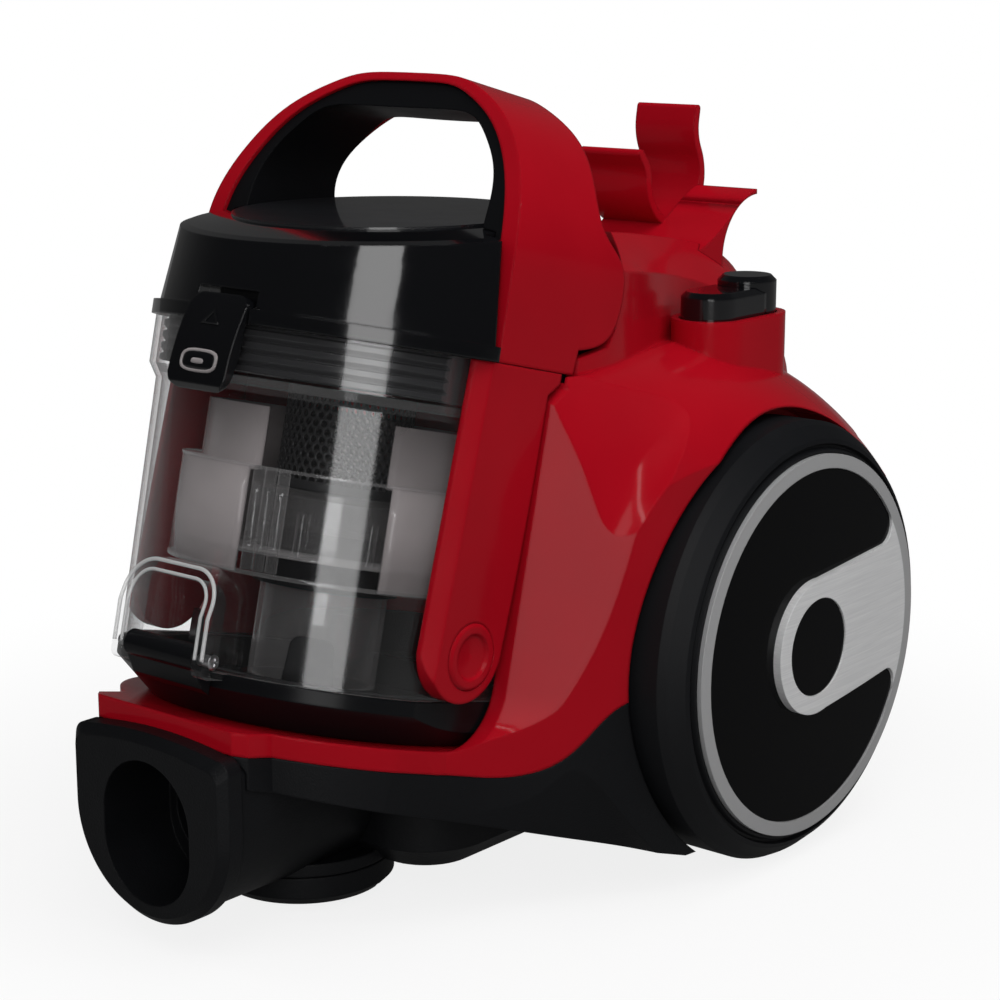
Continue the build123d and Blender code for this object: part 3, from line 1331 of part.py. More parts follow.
def motor_mount():
    """Rubber ring round the motor with a foot on the housing's floor."""
    low = -MOTOR_LENGTH / 2 + 14
    ring = rod_x(MOTOR_RADIUS + 5, low, low + 18) + Pos(low + 9, 0, -MOTOR_Z / 2) * Box(18, 44, MOTOR_Z)
    ring -= rod_x(MOTOR_RADIUS + FIT, -FAR, FAR)
    floor = Pos(0, 0, GROUND_CLEARANCE + HOUSING_WALL + FIT - MOTOR_Z) * Box(
        FAR, FAR, FAR, align=(Align.CENTER, Align.CENTER, Align.MIN)
    )
    return motor_place() * (ring & floor)


def reel_place():
    return Pos(0, REEL_BACK, REEL_Z)


def cord_reel():
    """Spool with two flanges, turning on its axle."""
    half = REEL_WIDTH / 2
    bore = REEL_AXLE_RADIUS + PIN_FIT
    face = outline(
        (-half, bore), (-half, REEL_RADIUS), (-half + 2, REEL_RADIUS), (-half + 2, REEL_RADIUS / 2),
        (half - 2, REEL_RADIUS / 2), (half - 2, REEL_RADIUS), (half, REEL_RADIUS), (half, bore),
    )
    return reel_place() * revolve(Plane.XZ * face, Axis.X)


def reel_stand():
    """Axle of the reel between two uprights on the housing's floor."""
    half = REEL_WIDTH / 2 + 1.5
    foot = REEL_Z - GROUND_CLEARANCE - HOUSING_WALL - FIT
    stand = rod_x(REEL_AXLE_RADIUS, -half - 4, half + 4)
    upright = Pos(half, 0, REEL_AXLE_RADIUS + 4) * Box(
        4, 24, foot + REEL_AXLE_RADIUS + 4, align=(Align.MIN, Align.CENTER, Align.MAX)
    )
    return reel_place() * (stand + both_sides(upright))


def rear_grille():
    """Curved exhaust panel in the rear wall with level slots."""
    form = extrude(body_plan(), FAR) & slab_x(underside(), -FAR, FAR)
    panel = (form & rear_window(0)) - Pos(0, -HOUSING_WALL, 0) * form
    slot = Box(GRILLE_WIDTH - 14, FAR, 2.4)
    rows = 4
    pitch = (GRILLE_HEIGHT - 6) / rows
    for row in range(rows):
        panel -= Pos(0, REAR, GRILLE_Z + (row - (rows - 1) / 2) * pitch) * slot
    return panel


def exhaust_filter():
    """Flat filter pad behind the panel."""
    pad = Box(GRILLE_WIDTH - 1, 7, GRILLE_HEIGHT - 1)
    return Pos(0, REAR - 15, GRILLE_Z) * pad


def cord_outlet():
    """Collar that the mains cord leaves through."""
    return gland_bore(GLAND_RADIUS, REAR - 20, REAR - 2.5) - gland_bore(GLAND_RADIUS - 2.5, REAR - 30, REAR)


def power_switch():
    """Switch body under the button tower."""
    body = Box(*SWITCH_SIZE, align=(Align.CENTER, Align.CENTER, Align.MAX))
    return Pos(TOWER_X - 7, TOWER_BACK - 8, WORKS_TOP_Z - FIT) * body


NODES = {
    "upper_housing": upper_housing,
    "lower_housing": lower_housing,
    "inlet_socket": inlet_socket,
    "accessory_holder": accessory_holder,
    "caster_turntable": caster_turntable,
    "caster_roller": caster_roller,
    "caster_pin": caster_pin,
    "power_button": power_button,
    "rewind_button": rewind_button,
    "power_spring": lambda: button_spring(-rear_button_centre()),
    "rewind_spring": lambda: button_spring(rear_button_centre()),
    "dust_cup": dust_cup,
    "bottom_flap": bottom_flap,
    "flap_pin": flap_pin,
    "flap_seal": flap_seal,
    "cyclone_screen": cyclone_screen,
    "cyclone_skirt": cyclone_skirt,
    "cyclone_body": cyclone_body,
    "cyclone_band": cyclone_band,
    "cyclone_deck": cyclone_deck,
    "cyclone_cup": cyclone_cup,
    "cyclone_foot": cyclone_foot,
    "filter_lid": filter_lid,
    "handle_shell": handle_shell,
    "handle_grip": handle_grip,
    "filter_frame": filter_frame,
    "pleated_filter": pleated_filter,
    "latch": latch,
    "latch_pin": latch_pin,
    "suction_duct": suction_duct,
    "motor_housing": motor_housing,
    "motor_rotor": motor_rotor,
    "motor_mount": motor_mount,
    "cord_reel": cord_reel,
    "reel_stand": reel_stand,
    "rear_grille": rear_grille,
    "exhaust_filter": exhaust_filter,
    "cord_outlet": cord_outlet,
    "power_switch": power_switch,
}
SIDED = {
    "tyre": tyre,
    "wheel_disc": wheel_disc,
    "wheel_trim": wheel_trim,
    "wheel_cap": wheel_cap,
    "axle_stub": axle_stub,
    "cup_arm": cup_arm,
    "arm_cap": arm_cap,
}


def write(name, solid):
    export_step(Pos(0, AXLE_Y, 0) * solid, f"parts/{name}.step")


os.makedirs("parts", exist_ok=True)
for node, make in NODES.items():
    write(node, make())
for node, make in SIDED.items():
    left = make()
    write(node + "_left", left)
    write(node + "_right", mirror(left, Plane.YZ))
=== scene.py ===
import math

import bmesh
import bpy
import numpy as np
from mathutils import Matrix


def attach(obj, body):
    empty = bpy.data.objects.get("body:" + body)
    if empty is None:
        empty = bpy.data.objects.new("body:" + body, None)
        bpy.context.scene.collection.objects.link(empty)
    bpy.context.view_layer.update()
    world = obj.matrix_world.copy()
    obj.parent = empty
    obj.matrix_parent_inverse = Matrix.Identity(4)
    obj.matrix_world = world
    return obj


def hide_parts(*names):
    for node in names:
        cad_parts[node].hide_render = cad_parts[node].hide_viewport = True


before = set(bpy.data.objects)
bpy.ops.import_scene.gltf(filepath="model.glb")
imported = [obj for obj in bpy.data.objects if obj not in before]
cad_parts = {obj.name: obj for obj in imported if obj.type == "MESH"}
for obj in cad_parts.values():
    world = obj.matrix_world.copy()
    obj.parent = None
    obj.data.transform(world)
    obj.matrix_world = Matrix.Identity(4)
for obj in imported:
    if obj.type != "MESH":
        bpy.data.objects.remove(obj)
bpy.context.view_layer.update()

# Lengths are in metres. The dust cup leans back: its own frame is x, s (rearwards) and h (along its axis).
LEAN = math.radians(13.7)
CUP_Y = -0.1018
CUP_Z = 0.080
CYCLONE_S = -0.008

# The level disc on top of the filter lid.
LID_CENTRE_Y = -0.068
LID_DISC_RADIUS = 0.055
LID_DISC_Z = 0.2385

# The wheels' axle and the inside of the silver plate's outer ring, where its painted dark reflection begins.
AXLE_Y = 0.024
AXLE_Z = 0.082
RING_INSIDE = 0.0657

# The clear bail over the flap's hinge: its front is upright up to the knee and leans back above it.
BAIL_FOOT_H = 0.004
BAIL_KNEE_H = 0.018
BAIL_FRONT_S = -0.0843
BAIL_SLOPE = 7 / 26

# Three heights of the latch's front, and its depth s at each.
LATCH_HEIGHTS = [0.093, 0.108, 0.124]
LATCH_DEPTHS = [-0.0856, -0.0836, -0.0784]

# Rings and points of a screw head.
HEAD_RINGS = 14
HEAD_POINTS = 48

# The photograph's camera.
CAMERA_PLACE = (0.5611, -0.6802, 0.3236)
CAMERA_DIP = 12.83
CAMERA_TURN = 39.74
FOCAL_MM = 83.94
SENSOR_MM = 36.0

# The studio: the lamps' distance, the height that they face, and how far the floor reaches.
LAMP_DISTANCE = 1.5
LAMP_AIM_Z = 0.13
FLOOR_HALF = 6.0

# How white the floor is to the camera under the object, the distances between which its shadow fades out, its
# share of white in gloss, and how far it is darkened for gloss and for bounced light.
FLOOR_WHITE = 0.84
SHADOW_FADE = (0.16, 0.38)
FLOOR_IN_GLOSS = 0.1
FLOOR_DARKENED = 0.8

# The sky's soft light, its level in gloss, and what is added to that on the side that the camera faces.
SKY_LIGHT = 0.24
SKY_IN_GLOSS = 0.02
SKY_BEHIND = 0.04

WHITE = (1, 1, 1, 1)
BLACK = (0, 0, 0, 1)


class Wire:
    """A socket of a material's node tree. Formulas written with wires become Math nodes."""

    def __init__(self, tree, socket=None):
        self.tree = tree
        self.socket = socket

    def add(self, kind, settings=None, sockets=None, out=0):
        """Adds any node: its settings first, then its sockets as values or as links from other wires."""
        made = self.tree.nodes.new("ShaderNode" + kind)
        for name, value in (settings or {}).items():
            setattr(made, name, value)
        for name, value in (sockets or {}).items():
            if isinstance(value, Wire):
                self.tree.links.new(value.socket, made.inputs[name])
            else:
                made.inputs[name].default_value = value
        return Wire(self.tree, made.outputs[out] if made.outputs else None)

    def outputs(self):
        """Every output of the wire's node, by name."""
        return {each.name: Wire(self.tree, each) for each in self.socket.node.outputs}

    def calculate(self, operation, *terms):
        return self.add("Math", {"operation": operation}, dict(enumerate(terms)))

    def __add__(self, other):
        return self.calculate("ADD", self, other)

    def __sub__(self, other):
        return self.calculate("SUBTRACT", self, other)

    def __mul__(self, other):
        return self.calculate("MULTIPLY", self, other)

    def __pow__(self, other):
        return self.calculate("POWER", self, other)

    def __rsub__(self, other):
        return self.calculate("SUBTRACT", other, self)

    __radd__ = __add__
    __rmul__ = __mul__

    def root(self):
        return self.calculate("SQRT", self)

    def most(self, other):
        return self.calculate("MAXIMUM", self, other)

    def ramp(self, low, high):
        """0 below low, 1 above high and a smooth step between."""
        ends = {"From Min": low, "From Max": high, "Value": self}
        return self.add("MapRange", {"interpolation_type": "SMOOTHSTEP"}, ends)

    def mix(self, first, second):
        """The colour first where the wire is 0 and second where it is 1."""
        return self.add("Mix", {"data_type": "RGBA"}, {0: self, 6: first, 7: second}, 2)


def material(name):
    """A new empty material and its starting wire."""
    made = bpy.data.materials.new(name)
    made.use_nodes = True
    made.node_tree.nodes.clear()
    return made, Wire(made.node_tree)


def finish_with(wire, shader):
    wire.add("OutputMaterial", None, {"Surface": shader})


def place(wire):
    return wire.add("TexCoord", None, None, "Object")


def axes(wire, vector):
    """The three parts of a vector, each as a wire."""
    return wire.add("SeparateXYZ", None, {0: vector}).outputs().values()


def noise(wire, scale, detail=2.0, rough=0.5, where=None):
    sockets = {"Vector": where or place(wire), "Scale": scale, "Detail": detail, "Roughness": rough}
    return wire.add("TexNoise", None, sockets)


def shade(colour, by):
    return [min(1.0, c * by) for c in colour] + [1.0]


def grained(wire, height, strength, depth, edge):
    """A normal bent by a fine height, over edges rounded by the given radius."""
    eased = wire.add("Bevel", {"samples": 4}, {"Radius": edge})
    sockets = {"Strength": strength, "Distance": depth, "Height": height, "Normal": eased}
    return wire.add("Bump", None, sockets)


def moulded(name, colour, rough, grain, lift, edge=0.0007, coat=0.0, level=0.5, top=None):
    """Moulded plastic: its tone drifts, its polish varies, and a fine grain and eased edges bend the normal.
    Where the mask top is 1 it is paler and duller."""
    made, wire = material(name)
    drift = noise(wire, 14.0, 3.0).ramp(0.3, 0.7)
    smear = noise(wire, 55.0, 4.0, 0.6).ramp(0.35, 0.75)
    tone = drift.mix(shade(colour, 0.94), shade(colour, 1.06))
    polish = smear * 0.05 + (rough - 0.02)
    if top:
        mask = top(wire)
        tone = mask.mix(tone, shade(colour, 2.5))
        polish = polish + mask * 0.3
    sockets = {
        "Base Color": tone,
        "Roughness": polish,
        "Coat Weight": coat,
        "Coat Roughness": 0.05,
        "Specular IOR Level": level,
        "Normal": grained(wire, noise(wire, grain), strength=lift, depth=0.0004, edge=edge),
    }
    finish_with(wire, wire.add("BsdfPrincipled", None, sockets))
    return made


def lid_disc(wire):
    """1 on the matt disc on top of the filter lid, 0 on its gloss side."""
    x, y, z = axes(wire, place(wire))
    y = y - LID_CENTRE_Y
    away = (x * x + y * y).root()
    inside = 1.0 - away.ramp(LID_DISC_RADIUS - 0.0004, LID_DISC_RADIUS + 0.0003)
    return inside * z.ramp(LID_DISC_Z - 0.0006, LID_DISC_Z)


def rubber(name, colour, rough, level):
    """Rubber: a dull black with a fine pitted grain and paler dusty patches."""
    made, wire = material(name)
    dust = noise(wire, 22.0, 5.0, 0.6).ramp(0.45, 0.8)
    pits = noise(wire, 1400.0, 3.0, 0.6)
    sockets = {
        "Base Color": dust.mix(shade(colour, 0.9), shade(colour, 1.2)),
        "Roughness": rough + dust * 0.08,
        "Specular IOR Level": level,
        "Normal": grained(wire, pits, strength=0.12, depth=0.0005, edge=0.0006),
    }
    finish_with(wire, wire.add("BsdfPrincipled", None, sockets))
    return made


def brushed(name, colour, rough, along, metal, dark=None):
    """Brushed metal: fine scratches drawn out along one axis vary its tone and its polish. Where the mask
    dark is 1 its tone is halved, a painted dark reflection."""
    made, wire = material(name)
    stretch = wire.add("Mapping", None, {"Vector": place(wire), "Scale": along})
    lines = noise(wire, 1.0, 4.0, 0.65, stretch)
    broad = noise(wire, 9.0, 2.0)
    wear = (lines * 0.7 + broad * 0.3).ramp(0.25, 0.75)
    tone = wear.mix(shade(colour, 0.86), shade(colour, 1.12))
    if dark:
        tone = dark(wire).mix(tone, shade(colour, 0.5))
    sockets = {
        "Base Color": tone,
        "Metallic": metal,
        "Roughness": lines * 0.16 + rough,
        "Normal": grained(wire, lines, strength=0.08, depth=0.0003, edge=0.0005),
    }
    finish_with(wire, wire.add("BsdfPrincipled", None, sockets))
    return made


def painted_reflection_ring(wire):
    """1 on the outer ring of the wheel's silver plate, 0 on its band. The ring's darker tone is a painted
    dark reflection of its chamfer.
    """
    _, y, z = axes(wire, place(wire))
    y = y - AXLE_Y
    z = z - AXLE_Z
    return (y * y + z * z).root().ramp(RING_INSIDE - 0.0008, RING_INSIDE)


def clear(name, tint, rough, cloud, rim_cloud, tone):
    """See-through moulding: rays pass straight on, a thin cloud hangs in the wall and thickens where the wall
    turns edge-on, and both faces gleam more as they turn away."""
    made, wire = material(name)
    turned = wire.add("LayerWeight", None, {"Blend": 0.5}, "Facing")
    through = wire.add("BsdfTransparent", None, {"Color": shade(tint, 1.0)})
    film = noise(wire, 40.0, 4.0, 0.6) * 0.05 + rough
    normal = wire.add("Bevel", {"samples": 4}, {"Radius": 0.0005})
    gleam = wire.add("BsdfGlossy", None, {"Color": WHITE, "Roughness": film, "Normal": normal})
    haze = wire.add("BsdfDiffuse", None, {"Color": shade(tone, 1.0)})
    flow = noise(wire, 18.0, 3.0).ramp(0.3, 0.75) * 0.3 + 0.85
    thick = flow * cloud + (turned ** 4.0) * rim_cloud
    wall = wire.add("MixShader", None, {0: thick, 1: through, 2: haze})
    shine = (turned ** 5.0) * 0.8 + 0.035
    finish_with(wire, wire.add("MixShader", None, {0: shine, 1: wall, 2: gleam}))
    return made


def fibres(name, colour, scale):
    """Paper or foam: a mottled tone with a coarse open grain."""
    made, wire = material(name)
    cells = wire.add("TexVoronoi", None, {"Vector": place(wire), "Scale": scale})
    patch = noise(wire, 30.0, 4.0)
    mottle = (cells * 0.6 + patch * 0.4).ramp(0.1, 0.8)
    sockets = {
        "Base Color": mottle.mix(shade(colour, 0.75), shade(colour, 1.1)),
        "Roughness": 0.82 + patch * 0.1,
        "Normal": wire.add("Bump", None, {"Strength": 0.4, "Distance": 0.0008, "Height": cells}),
    }
    finish_with(wire, wire.add("BsdfPrincipled", None, sockets))
    return made


FINISHES = {
    "red": moulded(
        "red housing", (0.35, 0.0032, 0.010), rough=0.16,
        grain=700.0, lift=0.02, edge=0.0016, coat=0.10, level=0.06,
    ),
    "matt": moulded(
        "textured black", (0.0045, 0.0048, 0.0057), rough=0.48,
        grain=1500.0, lift=0.3, edge=0.0009, level=0.18,
    ),
    "gloss": moulded(
        "gloss black", (0.004, 0.0042, 0.005), rough=0.09,
        grain=600.0, lift=0.01, edge=0.0010, coat=0.3,
    ),
    "insert": moulded(
        "wheel insert black", (0.0009, 0.0009, 0.0012), rough=0.12,
        grain=600.0, lift=0.01, edge=0.0006, level=0.06,
    ),
    "lid": moulded(
        "lid black", (0.004, 0.0042, 0.005), rough=0.10,
        grain=600.0, lift=0.006, edge=0.0010, coat=0.7, top=lid_disc,
    ),
    "grip": moulded(
        "satin grip black", (0.005, 0.0052, 0.006), rough=0.5,
        grain=1100.0, lift=0.08, edge=0.0009, level=0.08,
    ),
    "tray": moulded(
        "tray black", (0.005, 0.0052, 0.006), rough=0.22,
        grain=900.0, lift=0.03, edge=0.0008, level=0.15,
    ),
    # Paler than the other blacks: painted lighter so that the filter frame's ribs show, standing in for the
    # light caught on their edges.
    "ribs": moulded(
        "filter frame painted paler black", (0.03, 0.03, 0.032), rough=0.2,
        grain=900.0, lift=0.02, edge=0.0006, coat=0.2,
    ),
    "works": moulded("works grey", (0.16, 0.16, 0.165), rough=0.45, grain=900.0, lift=0.1),
    "tyre": rubber("tyre black", (0.0062, 0.0066, 0.0078), rough=0.55, level=0.22),
    "seal": rubber("seal black", (0.02, 0.02, 0.021), rough=0.6, level=0.4),
    # The wheel trims' outer ring is painted darker: a painted dark reflection.
    "silver": brushed(
        "brushed silver", (0.94, 0.94, 0.95), rough=0.28,
        along=(300.0, 30.0, 1600.0), metal=0.4, dark=painted_reflection_ring,
    ),
    "steel": brushed(
        "turned steel", (0.5, 0.5, 0.51), rough=0.22,
        along=(60.0, 900.0, 900.0), metal=1.0,
    ),
    "screen": brushed(
        "screen metal", (0.035, 0.035, 0.037), rough=0.4,
        along=(500.0, 500.0, 900.0), metal=0.3,
    ),
    "clear": clear(
        "clear plastic", (0.975, 0.976, 0.978),
        rough=0.06, cloud=0.004, rim_cloud=0.3, tone=(0.6, 0.6, 0.6),
    ),
    "hazy": clear(
        "hazy plastic", (0.95, 0.95, 0.952),
        rough=0.06, cloud=0.06, rim_cloud=0.8, tone=(0.72, 0.70, 0.70),
    ),
    "frosted": clear(
        "frosted plastic", (0.94, 0.935, 0.935),
        rough=0.10, cloud=0.34, rim_cloud=0.35, tone=(0.80, 0.73, 0.73),
    ),
    # Clouded paler than the other clear parts: a painted highlight along the bail's front edges.
    "edge": clear(
        "clear edge painted bright", (0.95, 0.95, 0.952),
        rough=0.05, cloud=0.45, rim_cloud=0.3, tone=(0.82, 0.82, 0.82),
    ),
    "paper": fibres("filter paper", (0.74, 0.72, 0.66), scale=900.0),
    "foam": fibres("open foam", (0.06, 0.06, 0.062), scale=500.0),
}

WORN_BY = {
    "red": "upper_housing accessory_holder handle_shell"
    " cup_arm_left cup_arm_right arm_cap_left arm_cap_right",
    "matt": "lower_housing inlet_socket caster_turntable rear_grille wheel_disc_left wheel_disc_right",
    "gloss": "latch power_button rewind_button",
    "insert": "wheel_cap_left wheel_cap_right",
    "lid": "filter_lid",
    "grip": "handle_grip",
    "tray": "bottom_flap cyclone_foot cyclone_band",
    "ribs": "filter_frame",
    "works": "suction_duct motor_housing cord_reel reel_stand power_switch caster_roller",
    "tyre": "tyre_left tyre_right",
    "seal": "flap_seal motor_mount cord_outlet",
    "silver": "wheel_trim_left wheel_trim_right",
    "steel": "flap_pin latch_pin caster_pin axle_stub_left axle_stub_right"
    " power_spring rewind_spring motor_rotor",
    "screen": "cyclone_screen",
    "clear": "dust_cup",
    "hazy": "cyclone_body cyclone_cup cyclone_deck",
    "frosted": "cyclone_skirt",
    "paper": "pleated_filter",
    "foam": "exhaust_filter",
}

for finish, worn in WORN_BY.items():
    for node in worn.split():
        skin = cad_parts[node].data.materials
        skin.clear()
        skin.append(FINISHES[finish])


def cup_point(x, s, h):
    """Points of the leaning cup frame as an array of model points."""
    y = CUP_Y + s * math.cos(LEAN) + h * math.sin(LEAN)
    z = CUP_Z - s * math.sin(LEAN) + h * math.cos(LEAN)
    return np.stack(np.broadcast_arrays(x, y, z), axis=-1)


def whole_turn(count):
    """Evenly spaced angles once round."""
    return np.linspace(0, 2 * math.pi, count, endpoint=False)


def rounded_path(count, power):
    """Unit outline of a rounded oblong: cosine and sine, each raised to a power under one, its sign kept."""
    turn = whole_turn(count)
    circle = np.stack([np.cos(turn), np.sin(turn)])
    return np.sign(circle) * np.abs(circle) ** power


def grid_faces(rows, columns, wrap_rows=False, wrap_columns=False):
    """Quads between neighbours of a grid of points, joined end to end where it wraps."""
    i = np.arange(rows if wrap_rows else rows - 1)
    j = np.arange(columns if wrap_columns else columns - 1)
    a, b = np.meshgrid(i, j, indexing="ij")
    c = (a + 1) % rows
    d = (b + 1) % columns
    corners = [a * columns + b, c * columns + b, c * columns + d, a * columns + d]
    return np.stack(corners, axis=-1).reshape(-1, 4)


def repeated(faces, points, count):
    """The faces of one shape of so many points, repeated for a count of such shapes."""
    return (np.arange(count)[:, None, None] * points + faces).reshape(-1, 4)


def piece(name, points, faces, finish, body):
    """A new object from arrays of points and faces: doubles merged, faces outward, riding on a body."""
    mesh = bpy.data.meshes.new(name)
    mesh.from_pydata(points.reshape(-1, 3).tolist(), [], faces.tolist())
    work = bmesh.new()
    work.from_mesh(mesh)
    bmesh.ops.remove_doubles(work, verts=work.verts, dist=1e-6)
    bmesh.ops.dissolve_degenerate(work, edges=work.edges, dist=1e-7)
    bmesh.ops.recalc_face_normals(work, faces=work.faces)
    work.to_mesh(mesh)
    work.free()
    mesh.polygons.foreach_set("use_smooth", np.ones(len(mesh.polygons), dtype=bool))
    mesh.materials.append(FINISHES[finish])
    made = bpy.data.objects.new(name, mesh)
    bpy.context.scene.collection.objects.link(made)
    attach(made, body)
    return made


def screen_net(radius, low, high, around, rows, hole, thickness):
    """Perforated sheet rolled on the cyclone's axis: centres stand in a staggered net, and at each of twelve
    angles a cell's point runs from its hexagon's edge, half a pitch over cos(angle to the nearest side), in
    to the round hole. The flat net's length becomes an angle about the axis."""
    count = 12
    pitch = 2 * math.pi * radius / around
    rise = pitch * math.sqrt(3) / 2
    turn = np.arange(count) * math.pi / 6
    side = (turn + math.pi / 6) % (math.pi / 3) - math.pi / 6
    rings = np.stack([pitch / 2 / np.cos(side), np.full(count, hole)])
    row = np.arange(rows)[:, None, None, None]
    column = np.arange(around)[None, :, None, None]
    along = (column + 0.5 * (row % 2)) * pitch + rings * np.cos(turn)
    up = row * rise + rings * np.sin(turn) + np.zeros_like(along)
    up += (low + high - (rows - 1) * rise) / 2
    points = cup_point(radius * np.cos(along / radius), CYCLONE_S + radius * np.sin(along / radius), up)
    faces = repeated(grid_faces(2, count, wrap_columns=True), 2 * count, rows * around)
    net = piece("screen_net", points, faces, "screen", "container")
    wall = net.modifiers.new("wall", "SOLIDIFY")
    wall.thickness = thickness
    wall.offset = -1.0
    return net


def ring_band(name, outer, inner, low, high, finish):
    """Ring about the cyclone's axis: a rectangle with eased corners, carried round a circle."""
    across, up = rounded_path(16, 0.35)
    radius = (outer + inner) / 2 + (outer - inner) / 2 * across
    height = (low + high) / 2 + (high - low) / 2 * up
    turn = whole_turn(72)[:, None]
    points = cup_point(radius * np.cos(turn), CYCLONE_S + radius * np.sin(turn), height)
    return piece(name, points, grid_faces(72, 16, True, True), finish, "container")


def skirt_shell(lower, upper, wall, low, step, high, window, opening):
    """Skirt about the cyclone's axis: a stepped wall profile of eight points, carried round an arc that
    leaves a window of twice the opening, in degrees, about the window's direction. Both ends are closed."""
    count = 96
    radius = np.array([lower - wall, lower, lower, upper, upper, upper - wall, upper - wall, lower - wall])
    height = np.array([low, low, step, step, high, high, step - wall, step - wall])
    turn = np.radians(np.linspace(window + opening, window + 360 - opening, count))[:, None]
    points = cup_point(radius * np.sin(turn), CYCLONE_S - radius * np.cos(turn), height)
    end = np.array([[0, 1, 2, 7], [7, 2, 3, 6], [6, 3, 4, 5]])
    faces = np.concatenate([grid_faces(count, 8, False, True), end, end + (count - 1) * 8])
    return piece("skirt_shell", points, faces, "frosted", "container")


def skirt_posts(angles, radius, width, low, high):
    """Clear posts at the edge of the skirt's window: upright rods, each a circle carried up a straight line
    and drawn in to its centre at both ends. The angles, in degrees from the front, place them about the
    axis."""
    count = 20
    turn = np.radians(np.array(angles))[:, None, None]
    ring = whole_turn(count)[None, :, None]
    reach = width * np.array([0.0, 1.0, 1.0, 0.0])
    height = np.array([low, low, high, high]) + 0 * ring
    x = radius * np.sin(turn) + reach * np.cos(ring)
    s = CYCLONE_S - radius * np.cos(turn) + reach * np.sin(ring)
    faces = repeated(grid_faces(count, 4, True, False), 4 * count, len(angles))
    return piece("skirt_posts", cup_point(x, s, height), faces, "hazy", "container")


def painted_bail_highlight(name, half, top, corner, radius):
    """Rounded front edge of the clear bail over the hinge, clouded pale as a painted highlight: a circle,
    closed to a point at both ends, carried up one side, round a corner, along the top and down again. The
    path is a rounded arch in x and h that leans back with the bail's front."""
    count = 81
    t = np.concatenate([[-1.0], np.linspace(-1.0, 1.0, count), [1.0]])
    size = radius * np.concatenate([[0.0], np.ones(count), [0.0]])
    straight = top - corner - BAIL_FOOT_H
    bend = corner * math.pi / 2
    run = (straight + bend + half - corner) * (1 - np.abs(t))
    turn = np.clip((run - straight) / corner, 0.0, math.pi / 2)
    side = np.where(t < 0, -1.0, 1.0)
    x = side * (half - corner + corner * np.cos(turn) - np.clip(run - straight - bend, 0.0, None))
    h = BAIL_FOOT_H + np.clip(run, 0.0, straight) + corner * np.sin(turn)
    s = BAIL_FRONT_S + np.clip(h - BAIL_KNEE_H, 0.0, None) * BAIL_SLOPE
    ring = whole_turn(12)[:, None]
    out = size * np.cos(ring)
    points = cup_point(x + side * out * np.cos(turn), s + size * np.sin(ring), h + out * np.sin(turn))
    return piece(name, points, grid_faces(12, count + 2, True, False), "edge", "container")


def latch_face(h):
    """Depth s of the latch's curved front at height h, a parabola through three points of its profile."""
    return np.polyval(np.polyfit(LATCH_HEIGHTS, LATCH_DEPTHS, 2), h)


def latch_mark(middle, width, height, stroke, proud, sunk):
    """Raised outline of an upward triangle: four rings, each the triangle scaled about its middle, its three
    sides divided evenly, laid on the latch's curved front and standing proud of it."""
    corners = np.array([[-width / 2, -height / 3], [width / 2, -height / 3], [0.0, 2 * height / 3]])
    step = np.arange(24) / 8
    first = corners[step.astype(int)]
    second = corners[(step.astype(int) + 1) % 3]
    path = first + (second - first) * (step % 1)[:, None]
    scale = np.array([1.0, 1.0, 1.0 - stroke, 1.0 - stroke])[:, None]
    lift = np.array([sunk, -proud, -proud, sunk])[:, None]
    h = middle + path[:, 1] * scale
    points = cup_point(path[:, 0] * scale, latch_face(h) + lift, h)
    return piece("latch_mark", points, grid_faces(4, 24, True, True), "gloss", "clasp")


def latch_window(middle, half_width, half_height, frame_radius, bar_middle, bar_width, bar_height):
    """Window in the latch: a lens whose front bulges as one less the fourth power of the distance from its
    middle, a rounded frame about it and a small bar on it, all following a rounded oblong on the latch's
    curved front. The lens and the bar run out to their edge and back behind it."""
    count = 48
    across, up = rounded_path(count, 0.62)
    rings = 9
    bulge, proud, back = 0.0007, 0.0001, 0.0012
    reach = np.concatenate([np.linspace(0.0, 1.0, rings), np.linspace(1.0, 0.0, rings)[1:]])[:, None]
    on_front = np.arange(2 * rings - 1)[:, None] < rings
    depth = np.where(on_front, -bulge * (1 - reach ** 4) - proud, back)
    disc = grid_faces(2 * rings - 1, count, False, True)
    h = middle + half_height * reach * up
    lens = cup_point(half_width * reach * across, latch_face(h) + depth, h)
    piece("latch_window", lens, disc, "gloss", "clasp")
    ring = whole_turn(12)[:, None]
    h = middle + (half_height + frame_radius * np.cos(ring)) * up
    wide = half_width + frame_radius * np.cos(ring)
    rim = cup_point(wide * across, latch_face(h) - frame_radius * np.sin(ring), h)
    piece("latch_window_frame", rim, grid_faces(12, count, True, True), "frosted", "clasp")
    h = bar_middle + bar_height * reach * up
    bar = cup_point(bar_width * reach * across, latch_face(h) + 1.4 * depth - 2 * proud, h)
    piece("latch_window_bar", bar, disc, "frosted", "clasp")


def screw_head(radius, sink, back):
    """Points of a screw head, as two distances across it and one outwards: a low dome whose height falls by
    sink near either arm of a cross, closed by a flat back that is drawn in to its centre."""
    dome, arm_half, arm_ease, arm_end, end_ease = radius * np.array([0.22, 0.16, 0.05, 0.62, 0.08])
    r = np.linspace(0.0, 1.0, HEAD_RINGS)[:, None] * radius
    turn = whole_turn(HEAD_POINTS)
    arm = np.minimum(np.abs(r * np.cos(turn)), np.abs(r * np.sin(turn)))
    near_arm = np.clip((arm_half - arm) / arm_ease, 0, 1)
    near_middle = np.clip((arm_end - r) / end_ease, 0, 1)
    height = dome * (1 - (r / radius) ** 4) - sink * near_arm * near_middle
    centre = np.zeros((1, HEAD_POINTS))
    first = np.concatenate([r * np.cos(turn), centre])
    second = np.concatenate([r * np.sin(turn), centre])
    return first, second, np.concatenate([height, centre - back])


HEAD_FACES = grid_faces(HEAD_RINGS + 1, HEAD_POINTS, False, True)


